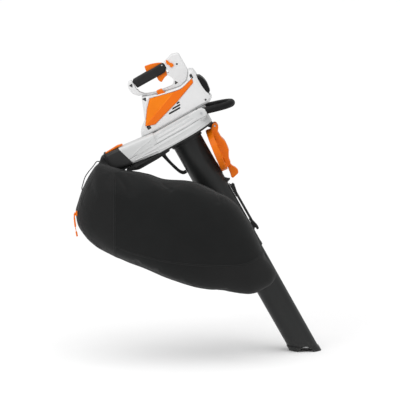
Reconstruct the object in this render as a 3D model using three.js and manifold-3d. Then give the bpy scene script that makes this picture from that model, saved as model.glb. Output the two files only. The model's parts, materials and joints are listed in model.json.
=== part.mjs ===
// Cordless shredder vac: a hand-held leaf vacuum and mulcher, standing on its tilted suction tube.
// Millimetres, +Z up. The machine is drawn in its own frame, whose Z is the common axis of fan, motor and
// suction tube and whose -X points to the outlet, and is then tilted. The bag hangs in an upright frame.
import * as THREE from "three";
import { mergeVertices } from "three/addons/utils/BufferGeometryUtils.js";
import Module from "manifold-3d";

const wasm = await Module();
wasm.setup();

// ---- driving dimensions ----
const TILT = THREE.MathUtils.degToRad(29.3); // lean of the tube axis from vertical
const FAN_HEIGHT = 723.5; // fan plane above the ground, on the tube axis
const GAP = 0.3; // clearance between touching pieces

const TUBE_OUTER_TOP = 52;
const TUBE_OUTER_SLEEVE = 51;
const TUBE_WALL = 2.6;
const TUBE_TOP_Z = -3.5;
const SLEEVE_END_Z = -437;
const LOWER_OUTER_TOP = 47.4;
const LOWER_OUTER_END = 45.8;
const LOWER_TOP_Z = -392;
const NOZZLE_REACH_Z = -900; // beyond the ground plane, which cuts the nozzle off
const ARCH_RADIUS = 27;
const ARCH_HEIGHT = 18;

const VOLUTE_BOTTOM = 16;
const VOLUTE_TOP = 80;
const VOLUTE_RADIUS = 108;
const VOLUTE_SPLIT = 47;
const VOLUTE_WALL = 4;
const SPOUT_TILT = THREE.MathUtils.degToRad(6);
const SPOUT_FAR_Y = -30;
const SPOUT_HEIGHT = 66;
const SPOUT_END = new THREE.Vector3(-198, -69, 62); // centre of the outlet's end face
const MOUTH_LEAN = THREE.MathUtils.degToRad(17); // lean of the outlet's end face

const HOUSING_HALF = 58;
const FRAME_HALF = 21;
const GRIP_HALF = 18;
const PANEL_PROUD = 3;

const BATTERY = { x: [24, 132], y: 38, z: [98, 165] };
const MOTOR_RADIUS = 36;
const SHAFT_RADIUS = 5;
const SHAFT_BORE = SHAFT_RADIUS + 0.1;

const SCREW_RADIUS = 3.3;
const SCREW_HOLE = SCREW_RADIUS + GAP;
const HINGE_PIN_RADIUS = 3;
const TRIGGER_PIN = { x: 50, z: 240, radius: 2 };
const LEVER_PIVOT = { x: 82, z: 247 };

const SCREEN_HINGE = new THREE.Vector3(108, 0, -3);
const SCREEN_LEAN = THREE.MathUtils.degToRad(7);
const SCREEN_RADIUS = 75.5;
const SCREEN_DROP = 80; // hinge to screen centre
const HINGE_LUG = 13; // half width of the flange's hinge lug

const LOOP_HALF = 62;
const LOOP_TUBE = 12;

// ---- materials ----
function plastic(colour, roughness) {
  return new THREE.MeshStandardMaterial({ color: colour, roughness, metalness: 0 });
}

function metal(colour, roughness) {
  return new THREE.MeshStandardMaterial({ color: colour, roughness, metalness: 0.9 });
}

const WHITE = plastic(0xeaeaea, 0.4);
const GREY = plastic(0xd9d9d8, 0.45);
const ORANGE = plastic(0xf58220, 0.4);
const BLACK = plastic(0x2a2b2b, 0.5);
const SOFT_BLACK = plastic(0x262626, 0.8);
const FABRIC = plastic(0x232525, 0.95);
const STEEL = metal(0xb8bcc0, 0.35);
const COPPER = metal(0xb06a3a, 0.4);
const GREEN = plastic(0x2c6b3f, 0.6);

// ---- solids ----
// A closed geometry as a manifold-3d solid, its faces turned outwards.
function solid(geometry) {
  const bare = new THREE.BufferGeometry();
  const flat = geometry.index ? geometry.toNonIndexed() : geometry;
  bare.setAttribute("position", flat.getAttribute("position"));
  const merged = mergeVertices(bare, 1e-3);
  const triVerts = withoutSlivers(merged.index.array);
  const vertProperties = merged.attributes.position.array;
  if (signedVolume(vertProperties, triVerts) < 0) {
    for (let i = 0; i < triVerts.length; i += 3) {
      [triVerts[i + 1], triVerts[i + 2]] = [triVerts[i + 2], triVerts[i + 1]];
    }
  }
  return new wasm.Manifold(new wasm.Mesh({ numProp: 3, vertProperties, triVerts }));
}

// The triangles that still have three different corners.
function withoutSlivers(index) {
  const kept = [];
  for (let i = 0; i < index.length; i += 3) {
    const [a, b, c] = [index[i], index[i + 1], index[i + 2]];
    if (a !== b && b !== c && c !== a) kept.push(a, b, c);
  }
  return new Uint32Array(kept);
}

function signedVolume(positions, triangles) {
  const [a, b, c] = [new THREE.Vector3(), new THREE.Vector3(), new THREE.Vector3()];
  let volume = 0;
  for (let i = 0; i < triangles.length; i += 3) {
    a.fromArray(positions, 3 * triangles[i]);
    b.fromArray(positions, 3 * triangles[i + 1]);
    c.fromArray(positions, 3 * triangles[i + 2]);
    volume += a.dot(b.cross(c));
  }
  return volume;
}

function geometryOf(body) {
  const mesh = body.getMesh();
  const geometry = new THREE.BufferGeometry();
  geometry.setAttribute("position", new THREE.BufferAttribute(mesh.vertProperties, 3));
  geometry.setIndex(new THREE.BufferAttribute(mesh.triVerts, 1));
  const flat = geometry.toNonIndexed();
  flat.computeVertexNormals();
  return flat;
}

function joined(...bodies) {
  return bodies.reduce((whole, next) => whole.add(next));
}

function cut(base, ...tools) {
  return tools.reduce((whole, tool) => whole.subtract(tool), base);
}

// A closed outline; each point is [u, v] or [u, v, corner radius].
function outline(points) {
  const shape = new THREE.Shape();
  const count = points.length;
  points.forEach(([u, v, round = 0], i) => {
    const corner = new THREE.Vector2(u, v);
    const before = new THREE.Vector2(...points[(i + count - 1) % count]).sub(corner);
    const after = new THREE.Vector2(...points[(i + 1) % count]).sub(corner);
    const reach = Math.min(round, 0.49 * before.length(), 0.49 * after.length());
    const start = corner.clone().addScaledVector(before.normalize(), reach);
    const end = corner.clone().addScaledVector(after.normalize(), reach);
    if (i === 0) shape.moveTo(start.x, start.y);
    else shape.lineTo(start.x, start.y);
    if (round > 0) shape.quadraticCurveTo(u, v, end.x, end.y);
  });
  shape.closePath();
  return shape;
}

// An outline's corners, less those that a chamfer of the given size would swallow.
function openedOut(shape, edge, curveSegments) {
  const kept = [];
  shape.extractPoints(curveSegments).shape.forEach((p) => {
    const last = kept[kept.length - 1];
    if (!last || last.distanceTo(p) > 1.7 * edge) kept.push(p);
  });
  if (kept[0].distanceTo(kept[kept.length - 1]) <= 1.7 * edge) kept.pop();
  return new THREE.Shape(kept);
}

function extruded(shape, depth, edge, curveSegments) {
  const drawn = edge > 0 ? openedOut(shape, edge, curveSegments) : shape;
  return new THREE.ExtrudeGeometry(drawn, {
    depth: depth - 2 * edge,
    curveSegments,
    bevelEnabled: edge > 0,
    bevelThickness: edge,
    bevelSize: edge,
    bevelOffset: -edge,
    bevelSegments: 1,
  }).translate(0, 0, edge);
}

// An outline in X and Z, made solid from one Y to another.
function sideSlab(points, y, edge = 0, curveSegments = 3) {
  const geometry = extruded(outline(points), y[1] - y[0], edge, curveSegments);
  return solid(geometry.rotateX(Math.PI / 2).translate(0, y[1], 0));
}

// An outline in X and Y, made solid from one Z to another.
function topSlab(points, z, edge = 0, curveSegments = 3) {
  return solid(extruded(outline(points), z[1] - z[0], edge, curveSegments).translate(0, 0, z[0]));
}

function block(x, y, z) {
  const geometry = new THREE.BoxGeometry(x[1] - x[0], y[1] - y[0], z[1] - z[0]);
  return solid(geometry.translate((x[0] + x[1]) / 2, (y[0] + y[1]) / 2, (z[0] + z[1]) / 2));
}

// A profile of [radius, z] turned round the Z axis.
function turned(profile, segments = 36) {
  const points = profile.map(([r, z]) => new THREE.Vector2(r, z));
  return solid(new THREE.LatheGeometry(points, segments).rotateX(Math.PI / 2));
}

function ring(outer, inner, z, segments = 36) {
  const [low, high] = z;
  return turned([[inner, low], [outer, low], [outer, high], [inner, high], [inner, low]], segments);
}

function rod(radius, from, to, sides = 16) {
  const start = new THREE.Vector3(...from);
  const along = new THREE.Vector3(...to).sub(start);
  const geometry = new THREE.CylinderGeometry(radius, radius, along.length(), sides);
  const upward = new THREE.Vector3(0, 1, 0);
  const turn = new THREE.Quaternion().setFromUnitVectors(upward, along.clone().normalize());
  geometry.applyQuaternion(turn);
  return solid(geometry.translate(...start.addScaledVector(along, 0.5).toArray()));
}

// A flat cross-section swept along a smooth path.
function swept(section, path, steps) {
  const points = path.map((p) => new THREE.Vector3(...p));
  const extrudePath = new THREE.CatmullRomCurve3(points, false, "centripetal");
  return solid(new THREE.ExtrudeGeometry(section, { steps, bevelEnabled: false, extrudePath, curveSegments: 4 }));
}

function disc(radius, sides) {
  const shape = new THREE.Shape();
  for (let i = 0; i < sides; i += 1) {
    const angle = (2 * Math.PI * i) / sides;
    const [u, v] = [radius * Math.cos(angle), radius * Math.sin(angle)];
    if (i === 0) shape.moveTo(u, v);
    else shape.lineTo(u, v);
  }
  shape.closePath();
  return shape;
}

// A shell whose rings of points are joined in order and capped at both ends.
function lofted(rings) {
  const sides = rings[0].length;
  const positions = [];
  const index = [];
  rings.flat().forEach((p) => positions.push(p.x, p.y, p.z));
  for (let r = 0; r + 1 < rings.length; r += 1) {
    for (let s = 0; s < sides; s += 1) {
      const [a, b] = [r * sides + s, r * sides + ((s + 1) % sides)];
      index.push(a, b, b + sides, a, b + sides, a + sides);
    }
  }
  [0, rings.length - 1].forEach((r) => {
    const middle = new THREE.Vector3();
    rings[r].forEach((p) => middle.addScaledVector(p, 1 / sides));
    const centre = positions.length / 3;
    positions.push(middle.x, middle.y, middle.z);
    for (let s = 0; s < sides; s += 1) {
      const [a, b] = [r * sides + s, r * sides + ((s + 1) % sides)];
      index.push(...(r === 0 ? [centre, b, a] : [centre, a, b]));
    }
  });
  const geometry = new THREE.BufferGeometry();
  geometry.setAttribute("position", new THREE.Float32BufferAttribute(positions, 3));
  geometry.setIndex(index);
  return solid(geometry);
}

// ---- scene graph ----
const machine = new THREE.Group(); // the tilted machine
const upright = new THREE.Group(); // what hangs straight down
machine.rotation.y = -TILT;

function place(group, name, body, material) {
  const mesh = new THREE.Mesh(geometryOf(body), material);
  mesh.name = name;
  group.add(mesh);
}

// ---- suction tube ----
function upperTube() {
  const shell = turned([
    [TUBE_OUTER_TOP - TUBE_WALL, TUBE_TOP_Z],
    [TUBE_OUTER_TOP, TUBE_TOP_Z],
    [TUBE_OUTER_SLEEVE, SLEEVE_END_Z + 12],
    [TUBE_OUTER_SLEEVE + 0.8, SLEEVE_END_Z + 10],
    [TUBE_OUTER_SLEEVE + 0.8, SLEEVE_END_Z],
    [TUBE_OUTER_SLEEVE - TUBE_WALL, SLEEVE_END_Z],
    [TUBE_OUTER_TOP - TUBE_WALL, TUBE_TOP_Z],
  ]);
  const restPad = block([TUBE_OUTER_TOP - 1.5, 52.7], [-9, 9], [-158, -118]);
  const spur = sideSlab(
    [[50.6, -174], [57, -181, 4], [65, -186, 1.5], [63, -190, 1.5], [50.6, -194]],
    [-5, 5]
  );
  return joined(shell, restPad, spur);
}

// The ground plane cuts the lower tube off, and an arch through the rim lets air in while it stands.
function lowerTube() {
  const collar = TUBE_OUTER_SLEEVE - TUBE_WALL - GAP;
  const shell = turned([
    [LOWER_OUTER_TOP - TUBE_WALL, LOWER_TOP_Z],
    [collar, LOWER_TOP_Z],
    [collar, SLEEVE_END_Z + 3],
    [LOWER_OUTER_TOP, SLEEVE_END_Z - 1],
    [LOWER_OUTER_END, -780],
    [LOWER_OUTER_END, NOZZLE_REACH_Z],
    [LOWER_OUTER_END - TUBE_WALL, NOZZLE_REACH_Z],
    [LOWER_OUTER_END - TUBE_WALL, -780],
    [LOWER_OUTER_TOP - TUBE_WALL, LOWER_TOP_Z],
  ]);
  return cut(joined(shell, nozzleBead()), belowGround(), archway());
}

// A shape drawn upright, with Z up from the fan plane, brought into the machine's frame.
function fromUpright(geometry) {
  return solid(geometry.rotateY(TILT));
}

function belowGround() {
  const depth = 200;
  const geometry = new THREE.BoxGeometry(900, 400, depth);
  return fromUpright(geometry.translate(400, 0, -FAN_HEIGHT - depth / 2));
}

const NOZZLE_X = FAN_HEIGHT * Math.tan(TILT); // where the tube axis meets the ground

function archway() {
  const geometry = new THREE.CylinderGeometry(ARCH_RADIUS, ARCH_RADIUS, 160, 24);
  return fromUpright(geometry.translate(NOZZLE_X, 0, -FAN_HEIGHT - ARCH_RADIUS + ARCH_HEIGHT));
}

// The thickened rim just above the oblique mouth.
function nozzleBead() {
  const wide = ring(LOWER_OUTER_END + 2.4, LOWER_OUTER_END - 1, [-900, -700]);
  const slice = new THREE.BoxGeometry(900, 400, 16).translate(400, 0, -FAN_HEIGHT + 8);
  return wide.intersect(fromUpright(slice));
}

// The cleat on the tube's front: a horn and a hook joined by a bar that stands off the tube.
function bagCleat() {
  const foot = TUBE_OUTER_TOP + GAP;
  const horn = [
    [foot, -199], [58, -207, 2], [64, -204.5, 2], [67.5, -209, 2], [66, -222, 4], [60, -252, 4], [foot, -252],
  ];
  const bar = [[54.6, -240], [60, -240], [60, -350], [54.6, -350]];
  const hook = [
    [foot, -340], [60, -340, 3], [68, -372, 3], [67.5, -384, 3], [62, -387, 2], [57, -374, 4], [foot, -380],
  ];
  return joined(...[horn, bar, hook].map((points) => sideSlab(points, [-7, 7])));
}

// ---- suction flange ----
const PLATE_Z = [VOLUTE_BOTTOM - GAP - 6, VOLUTE_BOTTOM - GAP];

function suctionFlange() {
  const plate = topSlab(voluteOutline(2, -190), PLATE_Z);
  const socket = ring(TUBE_OUTER_TOP + 5, TUBE_OUTER_TOP + 0.6, [-6, PLATE_Z[0] + 1]);
  const beam = sideSlab(
    [
      [-60, 11], [-188, 11], [-199, 18, 4], [-212, 21.5, 2], [-210, 10, 4], [-182, -1, 8], [-106, 0, 8],
      [-60, 4, 4],
    ],
    [-98, -60],
    1.5
  );
  const lug = sideSlab(
    [[82, 11], [86, 4, 4], [98, -11, 3], [110, -13, 8], [118, -2, 8], [104, 11]],
    [-HINGE_LUG, HINGE_LUG]
  );
  const bore = turned([[0, -20], [44.5, -20], [44.5, 20], [0, 20]]);
  const { x, z } = SCREEN_HINGE;
  const pinHole = rod(HINGE_PIN_RADIUS + GAP, [x, -40, z], [x, 40, z]);
  return cut(joined(cut(joined(plate, socket, beam), bore), lug), pinHole);
}

// The sleeve under the flange that the suction tube is pushed over.
function intakeSleeve() {
  return ring(TUBE_OUTER_TOP - TUBE_WALL - GAP, 44, [-34, PLATE_Z[0] - GAP]);
}

// The bow under the flange whose foot lies against the tube.
function flangeBow() {
  const foot = -TUBE_OUTER_TOP - 0.6;
  const outer = [[-103, 11], [-101, -4, 10], [-84, -66, 16], [-76, -88, 16], [-66, -99, 12], [foot, -99]];
  const inner = [[foot, -88], [-62, -88, 10], [-70, -78, 12], [-83, -36, 16], [-87, -8, 6], [-68, 3, 4], [-66, 11]];
  const flange = block([-200, 0], [-50, 50], [PLATE_Z[0] - GAP, 50]);
  return cut(sideSlab([...outer, ...inner], [-8, 8]), flange);
}

// ---- fan housing ----
// A round fan chamber joined to a straight duct that leaves it on a tangent, towards -X.
function voluteOutline(inset, endX) {
  const radius = VOLUTE_RADIUS - inset;
  const farY = SPOUT_FAR_Y - inset;
  const leaving = Math.PI + Math.asin(-farY / radius);
  const sweep = leaving + Math.PI / 2;
  const steps = 28;
  const points = [[endX, farY]];
  for (let i = 0; i <= steps; i += 1) {
    const angle = leaving - (sweep * i) / steps;
    points.push([radius * Math.cos(angle), radius * Math.sin(angle)]);
  }
  points.push([endX, -radius]);
  return points;
}

// A rounded box along the outlet duct's own axis, from inside the chamber to past its mouth.
function duct(inset, start, reach) {
  const width = VOLUTE_RADIUS + SPOUT_FAR_Y - 2 * inset;
  const height = SPOUT_HEIGHT - 2 * inset;
  const round = 12 - inset;
  const [w, h] = [width / 2, height / 2];
  const section = outline([[-w, -h, round], [w, -h, round], [w, h, round], [-w, h, round]]);
  const settings = { depth: start + reach, bevelEnabled: false, curveSegments: 3 };
  const geometry = new THREE.ExtrudeGeometry(section, settings);
  geometry.rotateZ(Math.PI / 2).rotateY(-Math.PI / 2 + SPOUT_TILT);
  const back = new THREE.Vector3(Math.cos(SPOUT_TILT), 0, -Math.sin(SPOUT_TILT)).multiplyScalar(start);
  return solid(geometry.translate(...SPOUT_END.clone().add(back).toArray()));
}

// Everything beyond the outlet's oblique mouth.
function beyondMouth(offset) {
  const geometry = new THREE.BoxGeometry(200, 300, 400).translate(-100 - offset, 0, 0).rotateY(-MOUTH_LEAN);
  return solid(geometry.translate(...SPOUT_END.toArray()));
}

function fanHousing() {
  const terraces = [
    [0, VOLUTE_BOTTOM, 44],
    [5, 43, 56],
    [12, 55, 68],
    [20, 67, VOLUTE_TOP],
  ].map(([inset, low, high]) => topSlab(voluteOutline(inset, -96), [low, high]));
  const sockets = [-1, 1].map((side) => {
    const y = sidePair(side, 40, LOOP_HALF + LOOP_TUBE + 4);
    return sideSlab(
      [[44, 50], [50, 79.6, 12], [100, 79.6, 12], [113, 66, 12], [108, 44, 12], [80, 40, 10]],
      y,
      4
    );
  });
  const floor = block([-400, 200], [-200, 200], [-60, VOLUTE_BOTTOM]);
  const outer = joined(...terraces, cut(duct(0, 112, 60), beyondMouth(0), floor), ...sockets);
  const chamber = joined(
    topSlab(voluteOutline(8, -98), [VOLUTE_BOTTOM + 5, 41]),
    topSlab(voluteOutline(10, -98), [40, 52]),
    topSlab(voluteOutline(16, -98), [51, 63.5])
  );
  const openings = turned([[0, 0], [50, 0], [50, 40], [0, 40]]);
  const shaftHole = turned([[0, 50], [14, 50], [14, 100], [0, 100]]);
  const armHoles = [-1, 1].map((side) => loopArmSpace(side));
  const bore = cut(duct(VOLUTE_WALL, 104, 90), block([-400, 200], [-200, 200], [-60, VOLUTE_BOTTOM + 4]));
  return cut(outer, chamber, bore, openings, shaftHole, ...armHoles);
}

function fanHousingHalves() {
  const whole = fanHousing();
  const under = block([-400, 200], [-200, 200], [-50, VOLUTE_SPLIT]);
  const over = block([-400, 200], [-200, 200], [VOLUTE_SPLIT - GAP, 300]);
  return { top: largest(whole.subtract(under)), bottom: largest(whole.subtract(over)) };
}

function largest(body) {
  return body.decompose().reduce((best, next) => (next.volume() > best.volume() ? next : best));
}

// ---- front loop handle ----
// The loop leaves the sockets forwards and slopes down in the machine's frame.
function loopPath() {
  const near = [
    [80, 0, 69.5],
    [104, 0, 62.5],
    [130, 0, 55],
    [156, 4, 47.5],
    [178, 17, 41],
    [191, 36, 37.2],
  ];
  const arm = (side) => near.map(([x, inwards, z]) => [x, side * (LOOP_HALF - inwards), z]);
  return [...arm(-1), [195, 0, 36], ...arm(1).reverse()];
}

function loopHandle() {
  return swept(disc(LOOP_TUBE, 12), loopPath(), 28);
}

// The hole that a loop arm plugs into, along the arm's own slope.
function loopArmSpace(side) {
  const y = LOOP_HALF * side;
  return rod(LOOP_TUBE + 0.6, [78, y, 70.1], [150, y, 49.1], 16);
}

function loopBolt(side) {
  const y = (LOOP_HALF + LOOP_TUBE + 4 + GAP) * side;
  return rod(4, [92, y, 62], [92, y + 3 * side, 62], 6);
}

// ---- motor housing ----
const SEAM = [[-50, 208], [-38, 197], [-22, 191], [20, 181], [72, 171], [102, 178], [116, 196], [121, 205]];

function housingBody() {
  const top = SEAM.map(([x, z]) => [x, z - GAP]);
  return [
    [-58, 207, 4], ...top, [126, 208, 3], [141, 196, 6], [139, 178, 4], [136, 166, 4], [137, 136, 6],
    [141, 108, 8], [150, 97, 8], [148, 86, 8], [134, 78, 8], [112, 80.4], [-112, 80.4], [-122, 84, 6], [-126, 94, 6],
    [-112, 112, 8], [-88, 126, 10], [-72, 170, 10],
  ];
}

function housingSolid() {
  const [low, high] = [-HOUSING_HALF, HOUSING_HALF];
  const body = sideSlab(housingBody(), [low, high], 7, 2);
  const bayY = [-BATTERY.y - 1, BATTERY.y + 1];
  const batteryBay = block([BATTERY.x[0] - 1, 200], bayY, [BATTERY.z[0] - 1, BATTERY.z[1] + 1]);
  const coverBay = block([124.5, 200], bayY, [BATTERY.z[0] - 1, 181]);
  const motorBay = turned([[0, 79], [MOTOR_RADIUS + 2, 79], [MOTOR_RADIUS + 2, 100], [0, 100]], 32);
  const electronicsBay = block([-62, 24], [-50, 50], [97, 160]);
  return cut(body, batteryBay, coverBay, motorBay, electronicsBay);
}

function vents(side) {
  const y = side < 0 ? [-HOUSING_HALF - 4, -36] : [36, HOUSING_HALF + 4];
  return [[-7, 39, 111], [11, 44, 120], [33, 46, 129]].map(([from, to, z]) =>
    sideSlab([[from, z - 2], [to, z - 2, 1], [to, z + 2], [from + 4, z + 2, 1]], y)
  );
}

function housingHalf(side) {
  const whole = housingSolid();
  const recess = sideSlab(panelOutline(GAP), sidePair(side, HOUSING_HALF - 4, HOUSING_HALF + 5));
  const buttonWell = block([-10, 20], [-51, -23], [150, 230]);
  const drillings = housingScrewSpots().map(([x, z]) =>
    rod(SCREW_HOLE, [x, side * (HOUSING_HALF - 9), z], [x, side * (HOUSING_HALF + 4), z], 12)
  );
  const outletRoom = duct(-2 * GAP, 130, 60);
  return largest(cut(whole, otherHalf(side), recess, buttonWell, outletRoom, ...vents(side), ...drillings));
}

// Everything on the far side of the parting plane from one half shell.
function otherHalf(side) {
  return block([-200, 200], sidePair(-side, -GAP / 2, 200), [0, 300]);
}

function sidePair(side, inner, outer) {
  return side < 0 ? [-outer, -inner] : [inner, outer];
}

function housingScrewSpots() {
  return [[-52, 192], [-86, 104], [122, 184], [126, 92]];
}

// A screw head with a six-sided drive, its face at one distance from the middle plane.
function screwHead(x, z, side, face) {
  const head = rod(SCREW_RADIUS, [x, side * face, z], [x, side * (face - 3.5), z], 12);
  const drive = rod(SCREW_RADIUS / 2, [x, side * (face + 1), z], [x, side * (face - 1.7), z], 6);
  return cut(head, drive);
}

function housingScrew(x, z, side) {
  return screwHead(x, z, side, HOUSING_HALF - 5);
}

// The faceted colour panel on each side of the motor housing.
function panelOutline(spread) {
  const s = spread;
  return [
    [-36 - s, 188 + s, 2], [-61 - s, 161, 3], [-94 - s, 114 - s, 2], [-63, 103 - s, 3], [40, 134 - s, 3],
    [118 + s, 164, 2], [121 + s, 178 + s, 2], [104, 172 + s, 6], [72, 164.5 + s, 10], [20, 174.5 + s, 8],
  ];
}

function sidePanel(side) {
  const y = sidePair(side, HOUSING_HALF - 3.6, HOUSING_HALF + PANEL_PROUD);
  return sideSlab(panelOutline(0), y, 1.2, 2);
}

// ---- rear handle ----
function frameOutline() {
  return [
    [-61.5, 268, 8], [-76, 270, 9], [-84, 256, 9], [-83, 226, 12], [-64, 209, 6], ...SEAM,
    [121, 272, 4], [96, 280, 3], [84, 274, 4], [66, 270, 3], [62, 268.4], [-61.5, 268.4],
  ];
}

function handleSolid() {
  const frame = sideSlab(frameOutline(), [-FRAME_HALF, FRAME_HALF], 3, 2);
  const window = sideSlab(
    [[-58, 235.6], [-60, 222, 8], [-44, 205, 8], [-14, 194, 6], [50, 184.5, 8], [66, 202, 10], [49, 235.6]],
    [-60, 60]
  );
  return cut(frame, window, sleeveRoom());
}

// What is taken off the frame's grip bar so that the soft sleeve can wrap round it.
function sleeveRoom() {
  const x = [-62 - GAP, 62 + GAP];
  const around = block(x, [-60, 60], [230, 290]);
  const core = block([x[0] - 1, x[1] + 1], [-12, 12], [241, 263]);
  return around.subtract(core);
}

function handleHalf(side) {
  const triggerBay = block([12, 60], [-8, 8], [222, 252]);
  const lockoutBay = block([-8, 60], [-8, 8], [256, 300]);
  const { x: pivotX, z: pivotZ } = LEVER_PIVOT;
  const leverSeat = rod(4.3, [pivotX, -FRAME_HALF - 2, pivotZ], [pivotX, -FRAME_HALF + 6, pivotZ], 12);
  const drillings = handleScrewSpots().map(([x, z]) =>
    rod(SCREW_HOLE, [x, side * (FRAME_HALF - 7), z], [x, side * (FRAME_HALF + 2), z], 12)
  );
  return largest(cut(handleSolid(), otherHalf(side), triggerBay, lockoutBay, leverSeat, ...drillings));
}

function handleScrewSpots() {
  return [[-71, 252], [99, 242], [66, 189]];
}

function handleScrew(x, z, side) {
  return screwHead(x, z, side, FRAME_HALF - 3);
}

function gripSleeve() {
  const body = sideSlab(
    [[-62, 236, 5], [-62, 268, 6], [62, 270, 8], [62, 246, 3], [50, 236, 5]],
    [-GRIP_HALF, GRIP_HALF],
    5,
    3
  );
  const core = block([-80, 80], [-12 - GAP, 12 + GAP], [241 - GAP, 263 + GAP]);
  const triggerSlot = block([12, 60], [-8, 8], [225, 252]);
  const lockoutSlot = block([-8, 60], [-8, 8], [256, 300]);
  return largest(cut(body, core, triggerSlot, lockoutSlot));
}

function trigger() {
  const { x, z, radius } = TRIGGER_PIN;
  const blade = sideSlab(
    [[17, 236, 2], [17, 222, 4], [23, 212, 3], [40, 222, 6], [53, 224, 2], [56, 240, 3], [48, 246, 3]],
    [-7, 7],
    1
  );
  return cut(blade, rod(radius + 0.4, [x, -20, z], [x, 20, z], 12));
}

function triggerPin() {
  const { x, z, radius } = TRIGGER_PIN;
  return rod(radius, [x, -7.6, z], [x, 7.6, z], 12);
}

function lockout() {
  return sideSlab(
    [[-4, 264, 2], [-4, 274, 2], [-1.5, 288, 3], [22, 284, 8], [42, 277, 6], [55, 270, 2], [56, 264, 2], [48, 262, 2]],
    [-7, 7],
    1
  );
}

function holdLever() {
  const y = [-FRAME_HALF - 4.5, -FRAME_HALF - 0.4];
  const { x, z } = LEVER_PIVOT;
  const lever = sideSlab(
    [[76, 241, 3], [74, 254, 2], [69, 258, 1], [72, 272, 2], [77, 271, 2], [80, 258, 1], [88, 252, 3], [88, 242, 3]],
    y,
    0.6
  );
  return joined(lever, rod(3.8, [x, -FRAME_HALF - 2, z], [x, -FRAME_HALF + 4, z], 12));
}

function releaseButton() {
  const base = block([-8.5, 18.5], [-49.5, -24.5], [166, 184]);
  const cap = sideSlab([[-6, 183], [-5, 199, 3], [15, 197, 3], [16, 183]], [-47, -27], 1.5);
  return joined(base, cap);
}

// ---- battery and electronics ----
function batteryPack() {
  const [x0, x1] = BATTERY.x;
  const [z0, z1] = BATTERY.z;
  const core = sideSlab([[x0, z0], [x1, z0], [x1, z1], [x0, z1]], [-BATTERY.y, BATTERY.y], 2);
  const cover = sideSlab(
    [
      [126, 112, 4], [126, 168, 3], [140, 180, 6], [152, 162, 14], [157, 138, 14], [152, 104, 8], [142, 105, 4],
    ],
    [-BATTERY.y + 1, BATTERY.y - 1],
    5
  );
  return joined(core, cover);
}

function terminalBlock() {
  return block([12, BATTERY.x[0] - 1], [-22, 22], [116, 150]);
}

function controllerBoard() {
  const board = block([-56, 8], [-34, 34], [108, 110]);
  const chips = [[-46, -34, -20, -4], [-24, -10, 6, 24], [-8, 4, -26, -12]];
  return joined(board, ...chips.map(([a, b, c, d]) => block([a, b], [c, d], [109.5, 120])));
}

// ---- motor and fan ----
function motorStator() {
  const coils = 9;
  const lamination = ring(MOTOR_RADIUS, 12, [82, 96], 36);
  const slots = [];
  for (let i = 0; i < coils; i += 1) {
    const angle = (2 * Math.PI * i) / coils;
    const centre = [24 * Math.cos(angle), 24 * Math.sin(angle)];
    slots.push(rod(3.4, [...centre, 80], [...centre, 99], 6));
  }
  return cut(lamination, ...slots);
}

function motorShaft() {
  return turned([[0, 15], [SHAFT_RADIUS, 15], [SHAFT_RADIUS, 95], [0, 95]], 20);
}

function motorRotor() {
  return ring(11.4, SHAFT_BORE, [83, 95], 24);
}

function motorBearing(z) {
  return ring(13.6, SHAFT_BORE, [z, z + 5.5], 24);
}

function fanWheel() {
  const blades = 8;
  const hub = ring(17, SHAFT_BORE, [29.2, 62], 24);
  const backplate = ring(90, 16, [59, 62], 40);
  const vanes = [];
  for (let i = 0; i < blades; i += 1) {
    const vane = new THREE.BoxGeometry(76, 3, 30).translate(51, 0, 45).rotateZ((2 * Math.PI * i) / blades);
    vanes.push(solid(vane));
  }
  return joined(hub, backplate, ...vanes);
}

function shredderBlade() {
  const bar = block([-38, 38], [-7, 7], [24.9, 28.9]);
  const tips = [[-38, -30], [30, 38]].map((x) => block(x, [-7, 7], [15, 26]));
  return cut(joined(bar, ...tips), shaftHole());
}

function fanNut() {
  return cut(rod(8, [0, 0, 18.6], [0, 0, 24.6], 6), shaftHole());
}

function shaftHole() {
  return turned([[0, 0], [SHAFT_BORE, 0], [SHAFT_BORE, 60], [0, 60]], 20);
}

// ---- intake screen ----
// Drawn with its hinge at the origin, hanging towards -Z, and its outside facing +X.
function screenRing() {
  const rim = onScreenAxis(ring(SCREEN_RADIUS, SCREEN_RADIUS - 4, [-36, -15], 36));
  const plate = onScreenAxis(ring(SCREEN_RADIUS - 3, 18, [-19, -15.5], 36));
  const slots = [];
  const count = 16;
  for (let i = 0; i < count; i += 1) {
    const slot = new THREE.BoxGeometry(32, 9, 20).translate(52, 0, -17);
    slots.push(onScreenAxis(solid(slot.rotateZ((2 * Math.PI * (i + 0.5)) / count))));
  }
  const hub = onScreenAxis(turned([[0, -22], [30, -22], [30, -14], [26, 6], [18, 13], [0, 14]], 24));
  const spine = sideSlab(
    [[-16, -8], [-8, 6, 4], [8, 8, 6], [11, -8, 6], [1.5, -22, 5], [5, -46, 4], [12, -60, 4], [12, -96, 6],
      [2, -122, 8], [2, -140, 3], [-16, -148]],
    [-27, 27],
    2
  );
  const knuckle = rod(9.5, [0, -27, 0], [0, 27, 0], 20);
  const lugSpace = block([-40, 20], [-HINGE_LUG - GAP, HINGE_LUG + GAP], [-18, 40]);
  const pinHole = rod(HINGE_PIN_RADIUS + GAP, [0, -40, 0], [0, 40, 0], 16);
  const leverBay = block([-22, 30], [-12.6, 12.6], [-170, -138]);
  return cut(joined(cut(joined(rim, plate), ...slots), hub, spine, knuckle), pinHole, leverBay, lugSpace);
}

// A solid turned about Z, laid so that Z becomes the screen's outward normal at its centre.
function onScreenAxis(body) {
  return body.rotate([0, 90, 0]).translate([0, 0, -SCREEN_DROP]);
}

function screenLever() {
  return sideSlab(
    [
      [-12, -142, 2], [0, -142, 3], [3, -150, 4], [12, -160, 5], [16, -172, 4], [13, -181, 3],
      [-11, -190, 3], [-15, -184, 3], [-13, -172, 2], [-13, -160, 2],
    ],
    [-12, 12],
    1.5
  );
}

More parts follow.
